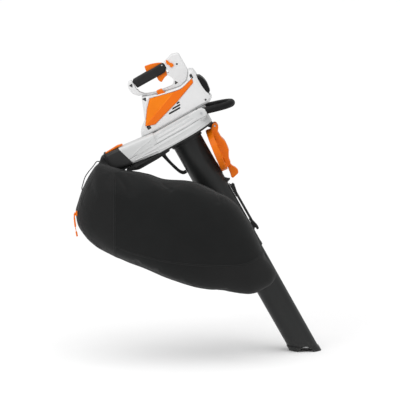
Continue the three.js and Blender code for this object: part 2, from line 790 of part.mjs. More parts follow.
function hingePin() {
  const { x, z } = SCREEN_HINGE;
  return rod(HINGE_PIN_RADIUS, [x, -26, z], [x, 26, z], 16);
}

// ---- outlet elbow ----
const ELBOW_Y = SPOUT_END.y;

// A rounded rectangle standing across the outlet at one x, as a ring of points.
function elbowRing(x, z, halfWidth, halfHeight, lean = 0) {
  const round = 13;
  const [w, h] = [halfWidth, halfHeight];
  const section = outline([[-w, -h, round], [w, -h, round], [w, h, round], [-w, h, round]]);
  const corners = section.extractPoints(4).shape.slice(0, -1);
  return corners.map((p) => new THREE.Vector3(x - lean * p.y, ELBOW_Y + p.x, z + p.y));
}

function elbowSolid(inset, startX = -198.5) {
  const lean = Math.tan(MOUTH_LEAN);
  return lofted([
    elbowRing(startX, 61, 42 - inset, 36 - inset, lean),
    elbowRing(-232, 65, 40 - inset, 34 - inset, 0.12),
    elbowRing(-268, 67.5, 37 - inset, 31 - inset),
  ]);
}

// The elbow plugs into the duct with a short spigot.
function outletElbow() {
  const wall = 3;
  const exit = lofted([-266, -280].map((x) => elbowRing(x, 67.5, 37 - wall, 31 - wall)));
  const spigot = duct(VOLUTE_WALL + 0.5, 16, 6);
  const passage = duct(VOLUTE_WALL + 3, 20, 24);
  return cut(joined(elbowSolid(0), spigot), elbowSolid(wall, -210), exit, passage);
}

function elbowLatch() {
  return sideSlab(
    [[-255, 99.4, 1], [-255, 103, 1], [-206, 105, 1], [-199, 102, 1], [-199, 98.6, 1], [-232, 99.4]],
    [-82, -56]
  );
}

// ---- catcher bag ----
// Each slice is [x, top, bottom, middle y, half thickness], measured upright from the fan's centre.
const BAG_SLICES = [
  [-373, -214, -246, -112, 14],
  [-366, -199, -277, -112, 44],
  [-350, -157, -302, -112, 74],
  [-328, -117, -329, -112, 92],
  [-310, -87, -345, -112, 98],
  [-296, -63, -357, -114, 102],
  [-255, -74, -380, -122, 107],
  [-190, -90, -410, -136, 109],
  [-134, -95, -431, -150, 108],
  [-76, -117, -455, -162, 104],
  [22, -122, -487, -166, 102],
  [97, -148, -498, -160, 96],
  [151, -178, -502, -153, 88],
  [212, -258, -506, -143, 74],
  [256, -350, -490, -132, 54],
  [284, -400, -473, -126, 34],
  [297, -424, -451, -122, 14],
];
const BAG_SIDES = 14;
const BAG_FULLNESS = 0.86; // below 1 squares the slices up a little
const FABRIC_THICK = 2.4;
const BAG_SEAM_Y = -140;

function bagBody(inset) {
  const slices = inset > 0 ? BAG_SLICES.slice(1, -1) : BAG_SLICES;
  const rings = slices.map(([x, top, bottom, y, half]) => {
    const [middle, tall] = [(top + bottom) / 2, (top - bottom) / 2 - inset];
    const points = [];
    for (let i = 0; i < BAG_SIDES; i += 1) {
      const angle = (2 * Math.PI * i) / BAG_SIDES;
      const across = Math.sign(Math.cos(angle)) * Math.abs(Math.cos(angle)) ** BAG_FULLNESS;
      const along = Math.sign(Math.sin(angle)) * Math.abs(Math.sin(angle)) ** BAG_FULLNESS;
      points.push(new THREE.Vector3(x, y + (half - inset) * across, middle + tall * along));
    }
    return points;
  });
  return lofted(rings);
}

// The neck, drawn in the machine's frame round the elbow's end and turned upright.
function bagNeck(inset, from, to) {
  const spread = 0.5 + FABRIC_THICK - inset;
  const start = elbowRing(from, 67.5, 37.4 + spread, 31.9 + spread);
  const end = elbowRing(to, 62, 37.4 + spread, 28 + spread);
  return toUpright(lofted([start, end]));
}

function toUpright(body) {
  return body.rotate([0, -THREE.MathUtils.radToDeg(TILT), 0]);
}

function catcherBag() {
  const outer = joined(bagBody(0), bagNeck(0, -262.5, -283));
  const inner = joined(bagBody(FABRIC_THICK), bagNeck(FABRIC_THICK, -250, -283 + FABRIC_THICK));
  return largest(cut(outer, inner, toUpright(elbowSolid(-0.5)), bandSolid(0.4)));
}

// The bag is sewn from two shells that meet in an upright plane; the far one has the neck.
function bagShells() {
  const whole = catcherBag();
  const [x, z] = [[-500, 500], [-700, 200]];
  const near = whole.subtract(block(x, [BAG_SEAM_Y - GAP / 2, 300], z));
  const far = whole.subtract(block(x, [-400, BAG_SEAM_Y + GAP / 2], z));
  return { near: largest(near), far: largest(far) };
}

function bandSolid(spread) {
  const [z, w, h] = [67, 42.5 + spread, 36.5 + spread];
  return toUpright(lofted([elbowRing(-262 - spread, z, w, h), elbowRing(-256 + spread, z, w, h)]));
}

function neckBand() {
  return cut(bandSolid(0), toUpright(elbowSolid(-0.5)));
}

const LOOP_CORD = [
  [-293.5, -98, -61], [-302, -106, -62], [-312, -112, -75], [-327, -112, -93], [-340, -112, -113],
  [-348, -112, -138], [-351.5, -112, -152],
];

function bagLoopCord() {
  return swept(disc(1.6, 8), LOOP_CORD, 14);
}

const ZIP_TOP = new THREE.Vector3(-369.2, -165, -232);

// A block whose faces are given as distances from the zip's top, along X, Y and Z.
function zipBlock(x, y, z) {
  const { x: x0, y: y0, z: z0 } = ZIP_TOP;
  return block([x0 + x[0], x0 + x[1]], [y0 + y[0], y0 + y[1]], [z0 + z[0], z0 + z[1]]);
}

function zipSlider() {
  return joined(zipBlock([-1, 4.5], [-5, 5], [-4, 12]), zipBlock([-5.5, -0.5], [-1.2, 1.2], [-3, 7]));
}

function zipPull() {
  const { x, y, z } = ZIP_TOP;
  const tab = sideSlab(
    [[x - 8, z - 10, 2], [x - 5, z - 42, 3], [x + 1, z - 42, 3], [x - 2.8, z - 10, 2]],
    [y - 4, y + 4]
  );
  const fork = [-1, 1].map((side) => zipBlock([-7.5, -3], sidePair(side, 1.7, 4), [-14, 3]));
  return joined(tab, ...fork);
}

function zipPullTip() {
  const { x, y, z } = ZIP_TOP;
  const cord = rod(1.3, [x - 2, y, z - 42.8], [x + 1, y, z - 60], 8);
  return joined(cord, rod(3, [x + 0.8, y, z - 58], [x + 3.8, y, z - 74], 10));
}

// ---- assembly ----
place(machine, "suction_tube_upper", upperTube(), BLACK);
place(machine, "suction_tube_lower", lowerTube(), BLACK);
place(machine, "bag_cleat", bagCleat(), BLACK);
place(machine, "suction_flange", suctionFlange(), BLACK);
place(machine, "intake_sleeve", intakeSleeve(), BLACK);
place(machine, "flange_bow", flangeBow(), BLACK);

const halves = fanHousingHalves();
place(machine, "fan_housing_top", halves.top, GREY);
place(machine, "fan_housing_bottom", halves.bottom, GREY);
place(machine, "front_loop_handle", loopHandle(), SOFT_BLACK);

[["near", -1], ["far", 1]].forEach(([word, side]) => {
  place(machine, `motor_housing_${word}`, housingHalf(side), WHITE);
  place(machine, `side_panel_${word}`, sidePanel(side), ORANGE);
  place(machine, `handle_frame_${word}`, handleHalf(side), WHITE);
  place(machine, `loop_handle_bolt_${word}`, loopBolt(side), STEEL);
});
housingScrewSpots().forEach(([x, z], i) => {
  place(machine, `housing_screw_${i + 1}`, housingScrew(x, z, -1), STEEL);
});
handleScrewSpots().forEach(([x, z], i) => {
  place(machine, `handle_screw_${i + 1}`, handleScrew(x, z, -1), STEEL);
});

place(machine, "grip_sleeve", gripSleeve(), SOFT_BLACK);
place(machine, "trigger", trigger(), ORANGE);
place(machine, "trigger_pin", triggerPin(), STEEL);
place(machine, "trigger_lockout", lockout(), ORANGE);
place(machine, "speed_hold_lever", holdLever(), ORANGE);
place(machine, "battery_release_button", releaseButton(), ORANGE);
place(machine, "battery_pack", batteryPack(), BLACK);
place(machine, "battery_terminal_block", terminalBlock(), BLACK);
place(machine, "controller_board", controllerBoard(), GREEN);
place(machine, "motor_stator", motorStator(), COPPER);
place(machine, "motor_shaft", motorShaft(), STEEL);
place(machine, "motor_rotor", motorRotor(), STEEL);
place(machine, "bearing_lower", motorBearing(66.5), STEEL);
place(machine, "bearing_upper", motorBearing(74), STEEL);
place(machine, "impeller", fanWheel(), BLACK);
place(machine, "shredder_blade", shredderBlade(), STEEL);
place(machine, "impeller_nut", fanNut(), STEEL);

const screen = new THREE.Group();
screen.position.copy(SCREEN_HINGE);
screen.rotation.y = SCREEN_LEAN;
machine.add(screen);
place(screen, "intake_screen", screenRing(), ORANGE);
place(screen, "screen_latch_lever", screenLever(), ORANGE);
place(machine, "screen_hinge_pin", hingePin(), STEEL);

place(machine, "outlet_elbow", outletElbow(), BLACK);
place(machine, "elbow_latch", elbowLatch(), ORANGE);

const shells = bagShells();
place(upright, "catcher_bag_near", shells.near, FABRIC);
place(upright, "catcher_bag_far", shells.far, FABRIC);
place(upright, "bag_neck_band", neckBand(), SOFT_BLACK);
place(upright, "bag_loop_cord", bagLoopCord(), FABRIC);
place(upright, "zip_slider", zipSlider(), ORANGE);
place(upright, "zip_pull", zipPull(), ORANGE);
place(upright, "zip_pull_tip", zipPullTip(), ORANGE);

const placed = new THREE.Group();
placed.add(machine, upright);
const part = new THREE.Group();
part.add(placed);
part.updateMatrixWorld(true);
const reach = new THREE.Box3().setFromObject(placed, true);
placed.position.set(-(reach.min.x + reach.max.x) / 2, -(reach.min.y + reach.max.y) / 2, -reach.min.z);

export default part;
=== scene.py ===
"""Looks of the cordless shredder vac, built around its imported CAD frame. Metres, +Z up."""
import json
import math

import bmesh
import bpy
from mathutils import Matrix, Vector
from mathutils.bvhtree import BVHTree


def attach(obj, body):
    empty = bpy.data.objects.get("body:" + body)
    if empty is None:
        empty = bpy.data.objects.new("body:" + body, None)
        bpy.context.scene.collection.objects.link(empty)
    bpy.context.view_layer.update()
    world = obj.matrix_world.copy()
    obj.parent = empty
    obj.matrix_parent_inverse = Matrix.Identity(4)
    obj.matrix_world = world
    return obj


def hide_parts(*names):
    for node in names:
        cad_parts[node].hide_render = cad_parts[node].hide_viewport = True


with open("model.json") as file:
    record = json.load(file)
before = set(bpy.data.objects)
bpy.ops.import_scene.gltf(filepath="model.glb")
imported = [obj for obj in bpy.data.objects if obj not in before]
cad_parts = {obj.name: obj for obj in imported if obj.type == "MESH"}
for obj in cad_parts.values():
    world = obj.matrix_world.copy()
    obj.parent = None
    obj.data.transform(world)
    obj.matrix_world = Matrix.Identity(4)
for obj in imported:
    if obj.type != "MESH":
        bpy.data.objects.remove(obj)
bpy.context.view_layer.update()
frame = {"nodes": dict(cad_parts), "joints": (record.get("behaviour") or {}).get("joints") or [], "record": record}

# ---- frames ----
MM = 0.001
FAN_SPIN = next(joint for joint in frame["joints"] if joint["name"] == "impeller_spin")
FAN_AXIS = Vector(FAN_SPIN["axis"])
FAN = Vector(FAN_SPIN["pos_m"]) - 0.050 * FAN_AXIS  # the fan plane's centre, on the tube's axis
TILT = math.atan2(-FAN_AXIS.x, FAN_AXIS.z)
UPRIGHT_MM = Matrix.Translation(FAN) @ Matrix.Scale(MM, 4)
MACHINE_MM = UPRIGHT_MM @ Matrix.Rotation(-TILT, 4, "Y")


def configured(thing, **settings):
    for key, value in settings.items():
        setattr(thing, key, value)
    return thing


def in_scene(name, data):
    """A new object in the scene that holds the data."""
    made = bpy.data.objects.new(name, data)
    bpy.context.scene.collection.objects.link(made)
    return made


# ---- camera ----
ELEVATION = math.radians(8)
CAMERA_DISTANCE = 10
VIEW_WIDTH = 1.36
AIM = Vector((FAN.x + 0.0459, FAN.y, 0.5174))


def make_camera():
    data = bpy.data.cameras.new("camera")
    data.lens = data.sensor_width * CAMERA_DISTANCE / VIEW_WIDTH
    data.clip_end = 100
    camera = in_scene("camera", data)
    back = Vector((0, -math.cos(ELEVATION), math.sin(ELEVATION)))
    camera.location = AIM + CAMERA_DISTANCE * back
    camera.rotation_euler = (math.pi / 2 - ELEVATION, 0, 0)
    bpy.context.scene.camera = camera


make_camera()


# ---- materials ----
RIDGES = (0.53, 0.62)    # the Pointiness at which an edge starts to take its painted highlight, and where it takes it fully
HOLLOWS = (0.47, 0.40)   # the same for painted shade in a hollow
WAVE_REPEAT = 0.314      # the distance between two waves of a wave texture at scale 1


def grey(level):
    return level, level, level


class Look:
    """A procedural material, built up round one Principled shader."""

    def __init__(self, name, colour, roughness, metallic=0.0, specular=0.5, sheen=0.0):
        self.material = bpy.data.materials.new(name)
        self.material.use_nodes = True
        self.tree = self.material.node_tree
        self.shader = self.tree.nodes["Principled BSDF"]
        self.colour = None
        self.flat_colour = (*colour, 1)
        self.fill(self.shader, {
            "Base Color": self.flat_colour, "Roughness": roughness, "Metallic": metallic,
            "Specular IOR Level": specular, "Sheen Weight": sheen,
        })
        self.normal = None
        self.place = self.node("ShaderNodeTexCoord").outputs["Object"]

    def fill(self, node, inputs):
        for socket, value in inputs.items():
            node.inputs[socket].default_value = value

    def node(self, kind, **settings):
        return configured(self.tree.nodes.new(kind), **settings)

    def placed(self, kind, inputs, **settings):
        """A node that reads the object's own coordinates."""
        made = self.node(kind, **settings)
        self.fill(made, inputs)
        self.link(self.place, made.inputs["Vector"])
        return made

    def link(self, output, socket):
        self.tree.links.new(output, socket)

    def noise(self, scale, detail=3.0, stretch=None):
        made = self.placed("ShaderNodeTexNoise", {"Scale": scale, "Detail": detail})
        if stretch is not None:
            turned = self.placed("ShaderNodeMapping", {"Rotation": (0, TILT, 0), "Scale": stretch})
            self.link(turned.outputs["Vector"], made.inputs["Vector"])
        return made.outputs["Fac"]

    def spread(self, value, low, high, to_low, to_high):
        made = self.node("ShaderNodeMapRange")
        for socket, number in zip(made.inputs[1:5], (low, high, to_low, to_high)):
            socket.default_value = number
        self.link(value, made.inputs["Value"])
        return made.outputs["Result"]

    def math(self, operation, first, second):
        made = self.node("ShaderNodeMath", operation=operation)
        for socket, value in zip(made.inputs, (first, second)):
            if isinstance(value, (int, float)):
                socket.default_value = value
            else:
                self.link(value, socket)
        return made.outputs["Value"]

    def tint(self, factor, colour, blend="MIX"):
        """Mixes a colour over what is there so far, by a varying factor."""
        made = self.node("ShaderNodeMix", data_type="RGBA", blend_type=blend)
        self.link(factor, made.inputs["Factor"])
        if self.colour is None:
            made.inputs[6].default_value = self.flat_colour
        else:
            self.link(self.colour, made.inputs[6])
        made.inputs[7].default_value = (*colour, 1)
        self.colour = made.outputs[2]
        self.link(self.colour, self.shader.inputs["Base Color"])
        return self

    def shaded(self, colour):
        """Mixes a colour in where the mesh's attribute 'shade' says so."""
        return self.tint(self.node("ShaderNodeAttribute", attribute_name="shade").outputs["Fac"], colour)

    def mottled(self, colour, scale, amount=1.0):
        return self.tint(self.spread(self.noise(scale), 0.35, 0.75, 0, amount), colour)

    def rough(self, scale, low, high, stretch=None):
        fine = self.noise(scale, 5.0, stretch)
        self.link(self.spread(fine, 0.3, 0.7, low, high), self.shader.inputs["Roughness"])
        return self

    def raised(self, height, depth_mm):
        """Adds a bump over what is there so far."""
        made = self.node("ShaderNodeBump")
        made.inputs["Distance"].default_value = depth_mm * MM
        self.link(height, made.inputs["Height"])
        if self.normal is not None:
            self.link(self.normal, made.inputs["Normal"])
        self.normal = made.outputs["Normal"]
        self.link(self.normal, self.shader.inputs["Normal"])
        return self

    def grained(self, scale, depth_mm, stretch=None):
        return self.raised(self.noise(scale, 4.0, stretch), depth_mm)

    def painted_edge_highlight(self, colour, amount):
        """Paints a highlight on the sharpest edges, in patches, by mixing a colour in. The mesh has to be fine."""
        sharp = self.node("ShaderNodeNewGeometry").outputs["Pointiness"]
        patchy = self.math("MULTIPLY", self.spread(sharp, *RIDGES, 0, amount), self.noise(90, 4.0))
        return self.tint(patchy, colour)

    def painted_hollow_shade(self, colour, amount):
        """Paints shade into the hollows by darkening them towards a colour. The mesh has to be fine."""
        hollow = self.node("ShaderNodeNewGeometry").outputs["Pointiness"]
        return self.tint(self.spread(hollow, *HOLLOWS, 0, amount), colour)

    def woven(self, pitch_mm, depth_mm, gap_colour, gap_amount):
        """Plain weave: crossed threads along the two axes that each face lies along."""
        inputs = {"Scale": WAVE_REPEAT / (pitch_mm * MM), "Distortion": 0.6, "Detail": 1.0}
        waves = [
            self.placed("ShaderNodeTexWave", inputs, bands_direction=axis).outputs["Fac"] for axis in "XYZ"
        ]
        facing = self.node("ShaderNodeSeparateXYZ")
        self.link(self.node("ShaderNodeTexCoord").outputs["Normal"], facing.inputs["Vector"])
        threads = 0.0
        for i, output in enumerate(facing.outputs):
            share = self.math("POWER", self.math("ABSOLUTE", output, 0.0), 2.0)
            crossed = self.math("MULTIPLY", waves[(i + 1) % 3], waves[(i + 2) % 3])
            threads = self.math("ADD", threads, self.math("MULTIPLY", share, crossed))
        self.raised(threads, depth_mm)
        return self.tint(self.spread(threads, 0.45, 0.05, 0, gap_amount), gap_colour)


def white_plastic(name, colour, shade):
    look = Look(name, colour, 0.38, specular=0.45)
    look.mottled(shade, 14, amount=0.35).rough(60, 0.33, 0.46).grained(2200, 0.03)
    # painted highlight on the sharpest edges
    # painted shade in the hollows
    return look.painted_edge_highlight((0.95, 0.95, 0.94), 0.5).painted_hollow_shade((0.35, 0.35, 0.34), 0.55)


def orange_plastic(name, colour=(0.80, 0.165, 0.0)):
    """Orange plastic, with painted shade on the panels' lower facets."""
    look = Look(name, colour, 0.36, specular=0.22)
    # painted shade: darker orange where the attribute 'shade' marks a panel's lower facet
    look.shaded((0.80, 0.150, 0.0))
    look.mottled((0.74, 0.14, 0.0), 16, amount=0.3).rough(70, 0.31, 0.44).grained(2000, 0.03)
    # painted highlight on the sharpest edges
    # painted shade in the hollows
    return look.painted_edge_highlight((1.0, 0.40, 0.08), 0.6).painted_hollow_shade((0.42, 0.075, 0.004), 0.6)


def black_plastic(name, colour, shade, roughness, grain_mm, specular=0.35):
    look = Look(name, colour, roughness, specular=specular)
    look.mottled(shade, 22, amount=0.6).rough(55, roughness - 0.06, roughness + 0.10)
    # painted highlight on the sharpest edges
    return look.grained(1500, grain_mm).painted_edge_highlight(grey(0.09), 0.7)


def tube_plastic():
    """Blow-moulded tube: satin, with faint lengthways drag lines and a scuffed nozzle."""
    look = Look("tube_plastic", (0.0105, 0.0112, 0.0112), 0.40, specular=0.34)
    look.mottled((0.015, 0.0155, 0.0155), 9, amount=0.8)
    look.rough(260, 0.34, 0.50, stretch=(1, 1, 0.05))
    look.grained(500, 0.05, stretch=(1, 1, 0.04)).grained(2400, 0.02)
    height = look.placed("ShaderNodeSeparateXYZ", {})
    low_down = look.spread(height.outputs["Z"], 0.05, 0.0, 0, 0.5)
    scuffed = look.math("MULTIPLY", low_down, look.spread(look.noise(140, 6.0), 0.5, 0.62, 0, 1))
    return look.tint(scuffed, (0.06, 0.058, 0.054))


def bag_fabric():
    """Plain woven polyester, a little lighter on some of the bag's panels."""
    look = Look("bag_fabric", (0.0085, 0.0092, 0.0092), 0.88, specular=0.16, sheen=0.10)
    look.shader.inputs["Sheen Roughness"].default_value = 0.5
    look.shaded(grey(0.0165))
    look.mottled((0.013, 0.0135, 0.0135), 12, amount=0.55)
    look.woven(2.2, 0.35, grey(0.004), 0.55).grained(900, 0.12)
    return look


def webbing():
    look = Look("bag_webbing", grey(0.012), 0.8, specular=0.2, sheen=0.12)
    look.mottled(grey(0.02), 60).woven(1.3, 0.3, grey(0.004), 0.6)
    return look


def stitching():
    look = Look("stitch_thread", grey(0.022), 0.6, specular=0.3, sheen=0.1)
    return look.mottled(grey(0.035), 300).grained(4000, 0.05)


def soft_rubber(name, colour, shade, specular):
    """Soft-touch rubber with a fine moulded grain."""
    look = Look(name, colour, 0.52, specular=specular)
    look.mottled(shade, 35, amount=0.7).rough(90, 0.46, 0.66)
    cells = look.placed("ShaderNodeTexVoronoi", {"Scale": 650})
    # painted highlight on the sharpest edges
    return look.raised(cells.outputs["Distance"], 0.12).painted_edge_highlight(grey(0.06), 0.5)


def shade_dark_steel():
    """Screws with a dark phosphate finish, darkened as painted shade so that their wells read dark; their edges
    take a painted highlight.
    """
    look = Look("shade_dark_steel", (0.075, 0.075, 0.078), 0.45, metallic=0.8)
    look.mottled((0.04, 0.04, 0.042), 260).rough(500, 0.34, 0.56)
    return look.grained(1500, 0.03).painted_edge_highlight(grey(0.30), 0.8)


def bare_steel():
    look = Look("bare_steel", (0.52, 0.53, 0.55), 0.34, metallic=1.0)
    look.mottled((0.38, 0.38, 0.39), 120).rough(700, 0.24, 0.48, stretch=(1, 1, 0.1))
    return look.grained(1800, 0.02)


def laminated_iron():
    look = Look("laminated_iron", (0.30, 0.29, 0.28), 0.5, metallic=0.9)
    sheets = look.placed("ShaderNodeTexWave", {"Scale": 300}, bands_direction="DIAGONAL")
    look.mottled((0.16, 0.10, 0.06), 80, amount=0.6)
    return look.raised(sheets.outputs["Fac"], 0.1).rough(200, 0.42, 0.6)


def circuit_green():
    look = Look("circuit_board", (0.012, 0.10, 0.035), 0.4, specular=0.5)
    tracks = look.placed("ShaderNodeTexBrick", {"Scale": 220})
    look.tint(look.spread(tracks.outputs["Fac"], 0.4, 0.6, 0, 0.7), (0.05, 0.22, 0.09))
    return look.grained(1600, 0.02)


LOOKS = {
    "white_housing": white_plastic("white_plastic", (0.71, 0.71, 0.712), (0.65, 0.655, 0.66)),
    "fan_housing_plastic": white_plastic("grey_white_plastic", (0.60, 0.605, 0.605), (0.54, 0.545, 0.545)),
    "orange_panel": orange_plastic("orange_panel_plastic", (0.84, 0.20, 0.0)),
    "orange_controls": orange_plastic("orange_control_plastic"),
    "orange_screen": orange_plastic("orange_screen_plastic"),
    "orange_zip": orange_plastic("orange_zip_plastic"),
    "black_tube": tube_plastic(),
    "black_plastic": black_plastic("black_plastic", grey(0.010), grey(0.016), 0.46, 0.06),
    "battery_shell": black_plastic(
        "battery_plastic", (0.005, 0.005, 0.0052), grey(0.008), 0.42, 0.05, specular=0.18
    ),
    "soft_grip": soft_rubber("soft_rubber", (0.0095, 0.0095, 0.01), (0.015, 0.015, 0.016), 0.28),
    "bag_fabric": bag_fabric(),
    "bag_webbing": webbing(),
    "circuit_board": circuit_green(),
    "motor_iron": laminated_iron(),
    "impeller_plastic": black_plastic("impeller_plastic", grey(0.02), grey(0.03), 0.5, 0.08),
    "steel": bare_steel(),
}
THREAD = stitching()
SCREW_STEEL = shade_dark_steel()
LOOP_RUBBER = soft_rubber("loop_rubber", (0.005, 0.005, 0.0052), grey(0.008), 0.16)
SLOT_OF = {part["node"]: part["material_slot"] for part in frame["record"]["subparts"]}
BODY_OF = {node: body for body, nodes in frame["record"]["behaviour"]["bodies"].items() for node in nodes}


# ---- mesh tools ----
def piece(name, mesh, body, slot, stands_for=(), look=None):
    """A finished mesh as a piece of the object, riding on a CAD body, in its slot's look if none is given."""
    made = in_scene(name, mesh)
    mesh.materials.clear()
    mesh.materials.append((look or LOOKS[slot]).material)
    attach(made, body)
    if stands_for:
        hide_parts(*stands_for)
    return made


def drop_doubled(shape):
    """Removes pairs of faces on the same corners, which a voxel remesh may leave."""
    alike = {}
    for face in shape.faces:
        alike.setdefault(frozenset(face.verts), []).append(face)
    doubled = [face for faces in alike.values() if len(faces) > 1 for face in faces]
    bmesh.ops.delete(shape, geom=doubled, context="FACES")


def mesh_from(name, shape, frame_matrix):
    """A bmesh as a mesh in the row frame, its faces turned outwards and smooth."""
    drop_doubled(shape)
    bmesh.ops.recalc_face_normals(shape, faces=shape.faces)
    shape.transform(frame_matrix)
    for face in shape.faces:
        face.smooth = True
    mesh = bpy.data.meshes.new(name)
    shape.to_mesh(mesh)
    shape.free()
    return mesh


def add_shade(mesh, shade_at):
    """Marks each point of a mesh for its material."""
    shade = mesh.attributes.new("shade", "FLOAT", "POINT")
    shade.data.foreach_set("value", [shade_at(v.co) for v in mesh.vertices])


def evaluated(obj):
    """The object's mesh with its modifiers applied; the object itself is removed."""
    graph = bpy.context.evaluated_depsgraph_get()
    mesh = bpy.data.meshes.new_from_object(obj.evaluated_get(graph), depsgraph=graph)
    bpy.data.objects.remove(obj)
    return mesh


def reopened(mesh):
    """The mesh as a bmesh; the mesh itself is removed."""
    shape = bmesh.new()
    shape.from_mesh(mesh)
    bpy.data.meshes.remove(mesh)
    return shape


def crisp_piece(name, shape, body, slot, degrees, stands_for=(), look=None, frame_matrix=MACHINE_MM):
    """A bmesh as a piece that is shaded smooth except across edges sharper than this."""
    made = piece(name, mesh_from(name, shape, frame_matrix), body, slot, stands_for, look)
    made.data.set_sharp_from_angle(angle=math.radians(degrees))


def rounded(points, arcs=5):
    """The corners of an outline of [u, v] or [u, v, radius], each radius as a short arc."""
    drawn = []
    count = len(points)
    for i, point in enumerate(points):
        corner = Vector(point[:2])
        radius = point[2] if len(point) > 2 else 0
        if radius == 0:
            drawn.append(corner)
            continue
        before = Vector(points[i - 1][:2]) - corner
        after = Vector(points[(i + 1) % count][:2]) - corner
        reach = min(radius, 0.49 * before.length, 0.49 * after.length)
        start = corner + reach * before.normalized()
        end = corner + reach * after.normalized()
        for k in range(arcs + 1):
            t = k / arcs
            drawn.append((1 - t) ** 2 * start + 2 * t * (1 - t) * corner + t * t * end)
    return drawn


def add_loops(shape, rings, closed=False):
    """Joins rings of points in order, capped at both ends unless they close on themselves."""
    made = [[shape.verts.new(point) for point in ring] for ring in rings]
    sides = len(rings[0])
    pairs = list(zip(made, made[1:])) + ([(made[-1], made[0])] if closed else [])
    for first, second in pairs:
        for s in range(sides):
            t = (s + 1) % sides
            shape.faces.new((first[s], first[t], second[t], second[s]))
    if not closed:
        shape.faces.new(made[0])
        shape.faces.new(list(reversed(made[-1])))


def prism(shape, points, y):
    """An outline in X and Z, solid from one Y to another."""
    outline = rounded(points)
    add_loops(shape, [[Vector((u, depth, v)) for u, v in outline] for depth in y])


def add_box(shape, centre, size, turn=None):
    place = Matrix.Translation(centre) @ (turn or Matrix.Identity(4)) @ Matrix.Diagonal((*size, 1))
    bmesh.ops.create_cube(shape, size=1, matrix=place)


def add_rod(shape, start, end, radius, sides=24, tip=None):
    start, end = Vector(start), Vector(end)
    along = end - start
    turn = along.to_track_quat("Z", "Y").to_matrix().to_4x4()
    place = Matrix.Translation((start + end) / 2) @ turn
    tip = radius if tip is None else tip
    bmesh.ops.create_cone(
        shape, cap_ends=True, segments=sides, radius1=radius, radius2=tip, depth=along.length, matrix=place
    )


def smooth_path(points, steps):
    """Points on a centripetal Catmull-Rom curve through the given points."""
    points = [Vector(p) for p in points]
    ends = [2 * points[0] - points[1], *points, 2 * points[-1] - points[-2]]
    path = []
    for i in range(1, len(ends) - 2):
        p0, p1, p2, p3 = ends[i - 1:i + 3]
        t1 = (p1 - p0).length ** 0.5
        t2 = t1 + (p2 - p1).length ** 0.5
        t3 = t2 + (p3 - p2).length ** 0.5
        for k in range(steps):
            t = t1 + (t2 - t1) * k / steps
            a1 = (t1 - t) / t1 * p0 + t / t1 * p1
            a2 = (t2 - t) / (t2 - t1) * p1 + (t - t1) / (t2 - t1) * p2
            a3 = (t3 - t) / (t3 - t2) * p2 + (t - t2) / (t3 - t2) * p3
            b1 = (t2 - t) / t2 * a1 + t / t2 * a2
            b2 = (t3 - t) / (t3 - t1) * a2 + (t - t1) / (t3 - t1) * a3
            path.append((t2 - t) / (t2 - t1) * b1 + (t - t1) / (t2 - t1) * b2)
    return [*path, points[-1]]


def add_sweep(shape, path, section, up_at, closed=False):
    """Sweeps a closed section of (across, out) points along a path; up_at(i) is the outward direction."""
    rings = []
    last = len(path) - 1
    for i, point in enumerate(path):
        ahead = path[(i + 1) % len(path)] if closed else path[min(i + 1, last)]
        behind = path[i - 1] if closed else path[max(i - 1, 0)]
        along = (ahead - behind).normalized()
        across = along.cross(up_at(i)).normalized()
        out = across.cross(along).normalized()
        rings.append([point + u * across + v * out for u, v in section])
    add_loops(shape, rings, closed)


def circle(radius, sides):
    turns = [2 * math.pi * i / sides for i in range(sides)]
    return [(radius * math.cos(a), radius * math.sin(a)) for a in turns]


def add_lathe(shape, profile, sides):
    """Turns a closed profile of (radius, z) about Z."""
    rings = []
    for i in range(sides):
        angle = 2 * math.pi * i / sides
        rings.append([Vector((r * math.cos(angle), r * math.sin(angle), z)) for r, z in profile])
    add_loops(shape, rings, closed=True)


def add_modifier(obj, kind, **settings):
    return configured(obj.modifiers.new(kind.lower(), kind), **settings)


def add_boolean(obj, operation, other, **settings):
    add_modifier(obj, "BOOLEAN", operation=operation, solver="EXACT", object=other, **settings)


def temporary(name, shape):
    """A bmesh as a work piece, which is removed once its shape has been used."""
    mesh = bpy.data.meshes.new(name)
    bmesh.ops.recalc_face_normals(shape, faces=shape.faces)
    shape.to_mesh(mesh)
    shape.free()
    return in_scene(name, mesh)


VOXEL_SCALE = 1.0


def softened(work, voxel, rounds, keep=0.35):
    """The work piece's shape with its edges rounded by a remesh, as a bmesh with a share of its faces."""
    add_modifier(work, "REMESH", mode="VOXEL", voxel_size=voxel * VOXEL_SCALE)
    add_modifier(work, "SMOOTH", factor=0.5, iterations=rounds)
    add_modifier(work, "DECIMATE", ratio=keep)
    return reopened(evaluated(work))


def moulded(node, voxel, rounds, add=None, remove=None, bend=None, frame_matrix=MACHINE_MM):
    """The CAD node's solid with its edges rounded as a mould leaves them. It stands for the node.

    add and remove draw extra ribs and pockets into a bmesh, and bend moves a vertex, all in the node's own
    frame in millimetres. voxel is the finest detail kept, in millimetres, and rounds smooths it."""
    shape = bmesh.new()
    shape.from_mesh(frame["nodes"][node].data)
    shape.transform(frame_matrix.inverted())
    bmesh.ops.remove_doubles(shape, verts=shape.verts, dist=0.002)
    work = temporary("work_" + node, shape)
    if remove:
        pockets = bmesh.new()
        remove(pockets)
        cutter = temporary("cutter_" + node, pockets)
        add_boolean(work, "DIFFERENCE", cutter, use_self=True)
        work = in_scene("work_" + node, evaluated(work))
        bpy.data.objects.remove(cutter)
    if add:
        shape = bmesh.new()
        add(shape)
        bmesh.ops.recalc_face_normals(shape, faces=shape.faces)
        shape.from_mesh(work.data)
        shape.to_mesh(work.data)
        shape.free()
    shape = softened(work, voxel, rounds)
    if bend:
        for vertex in shape.verts:
            vertex.co = bend(vertex.co)
    name = node + "_moulded"
    piece(name, mesh_from(name, shape, frame_matrix), BODY_OF[node], SLOT_OF[node], [node])


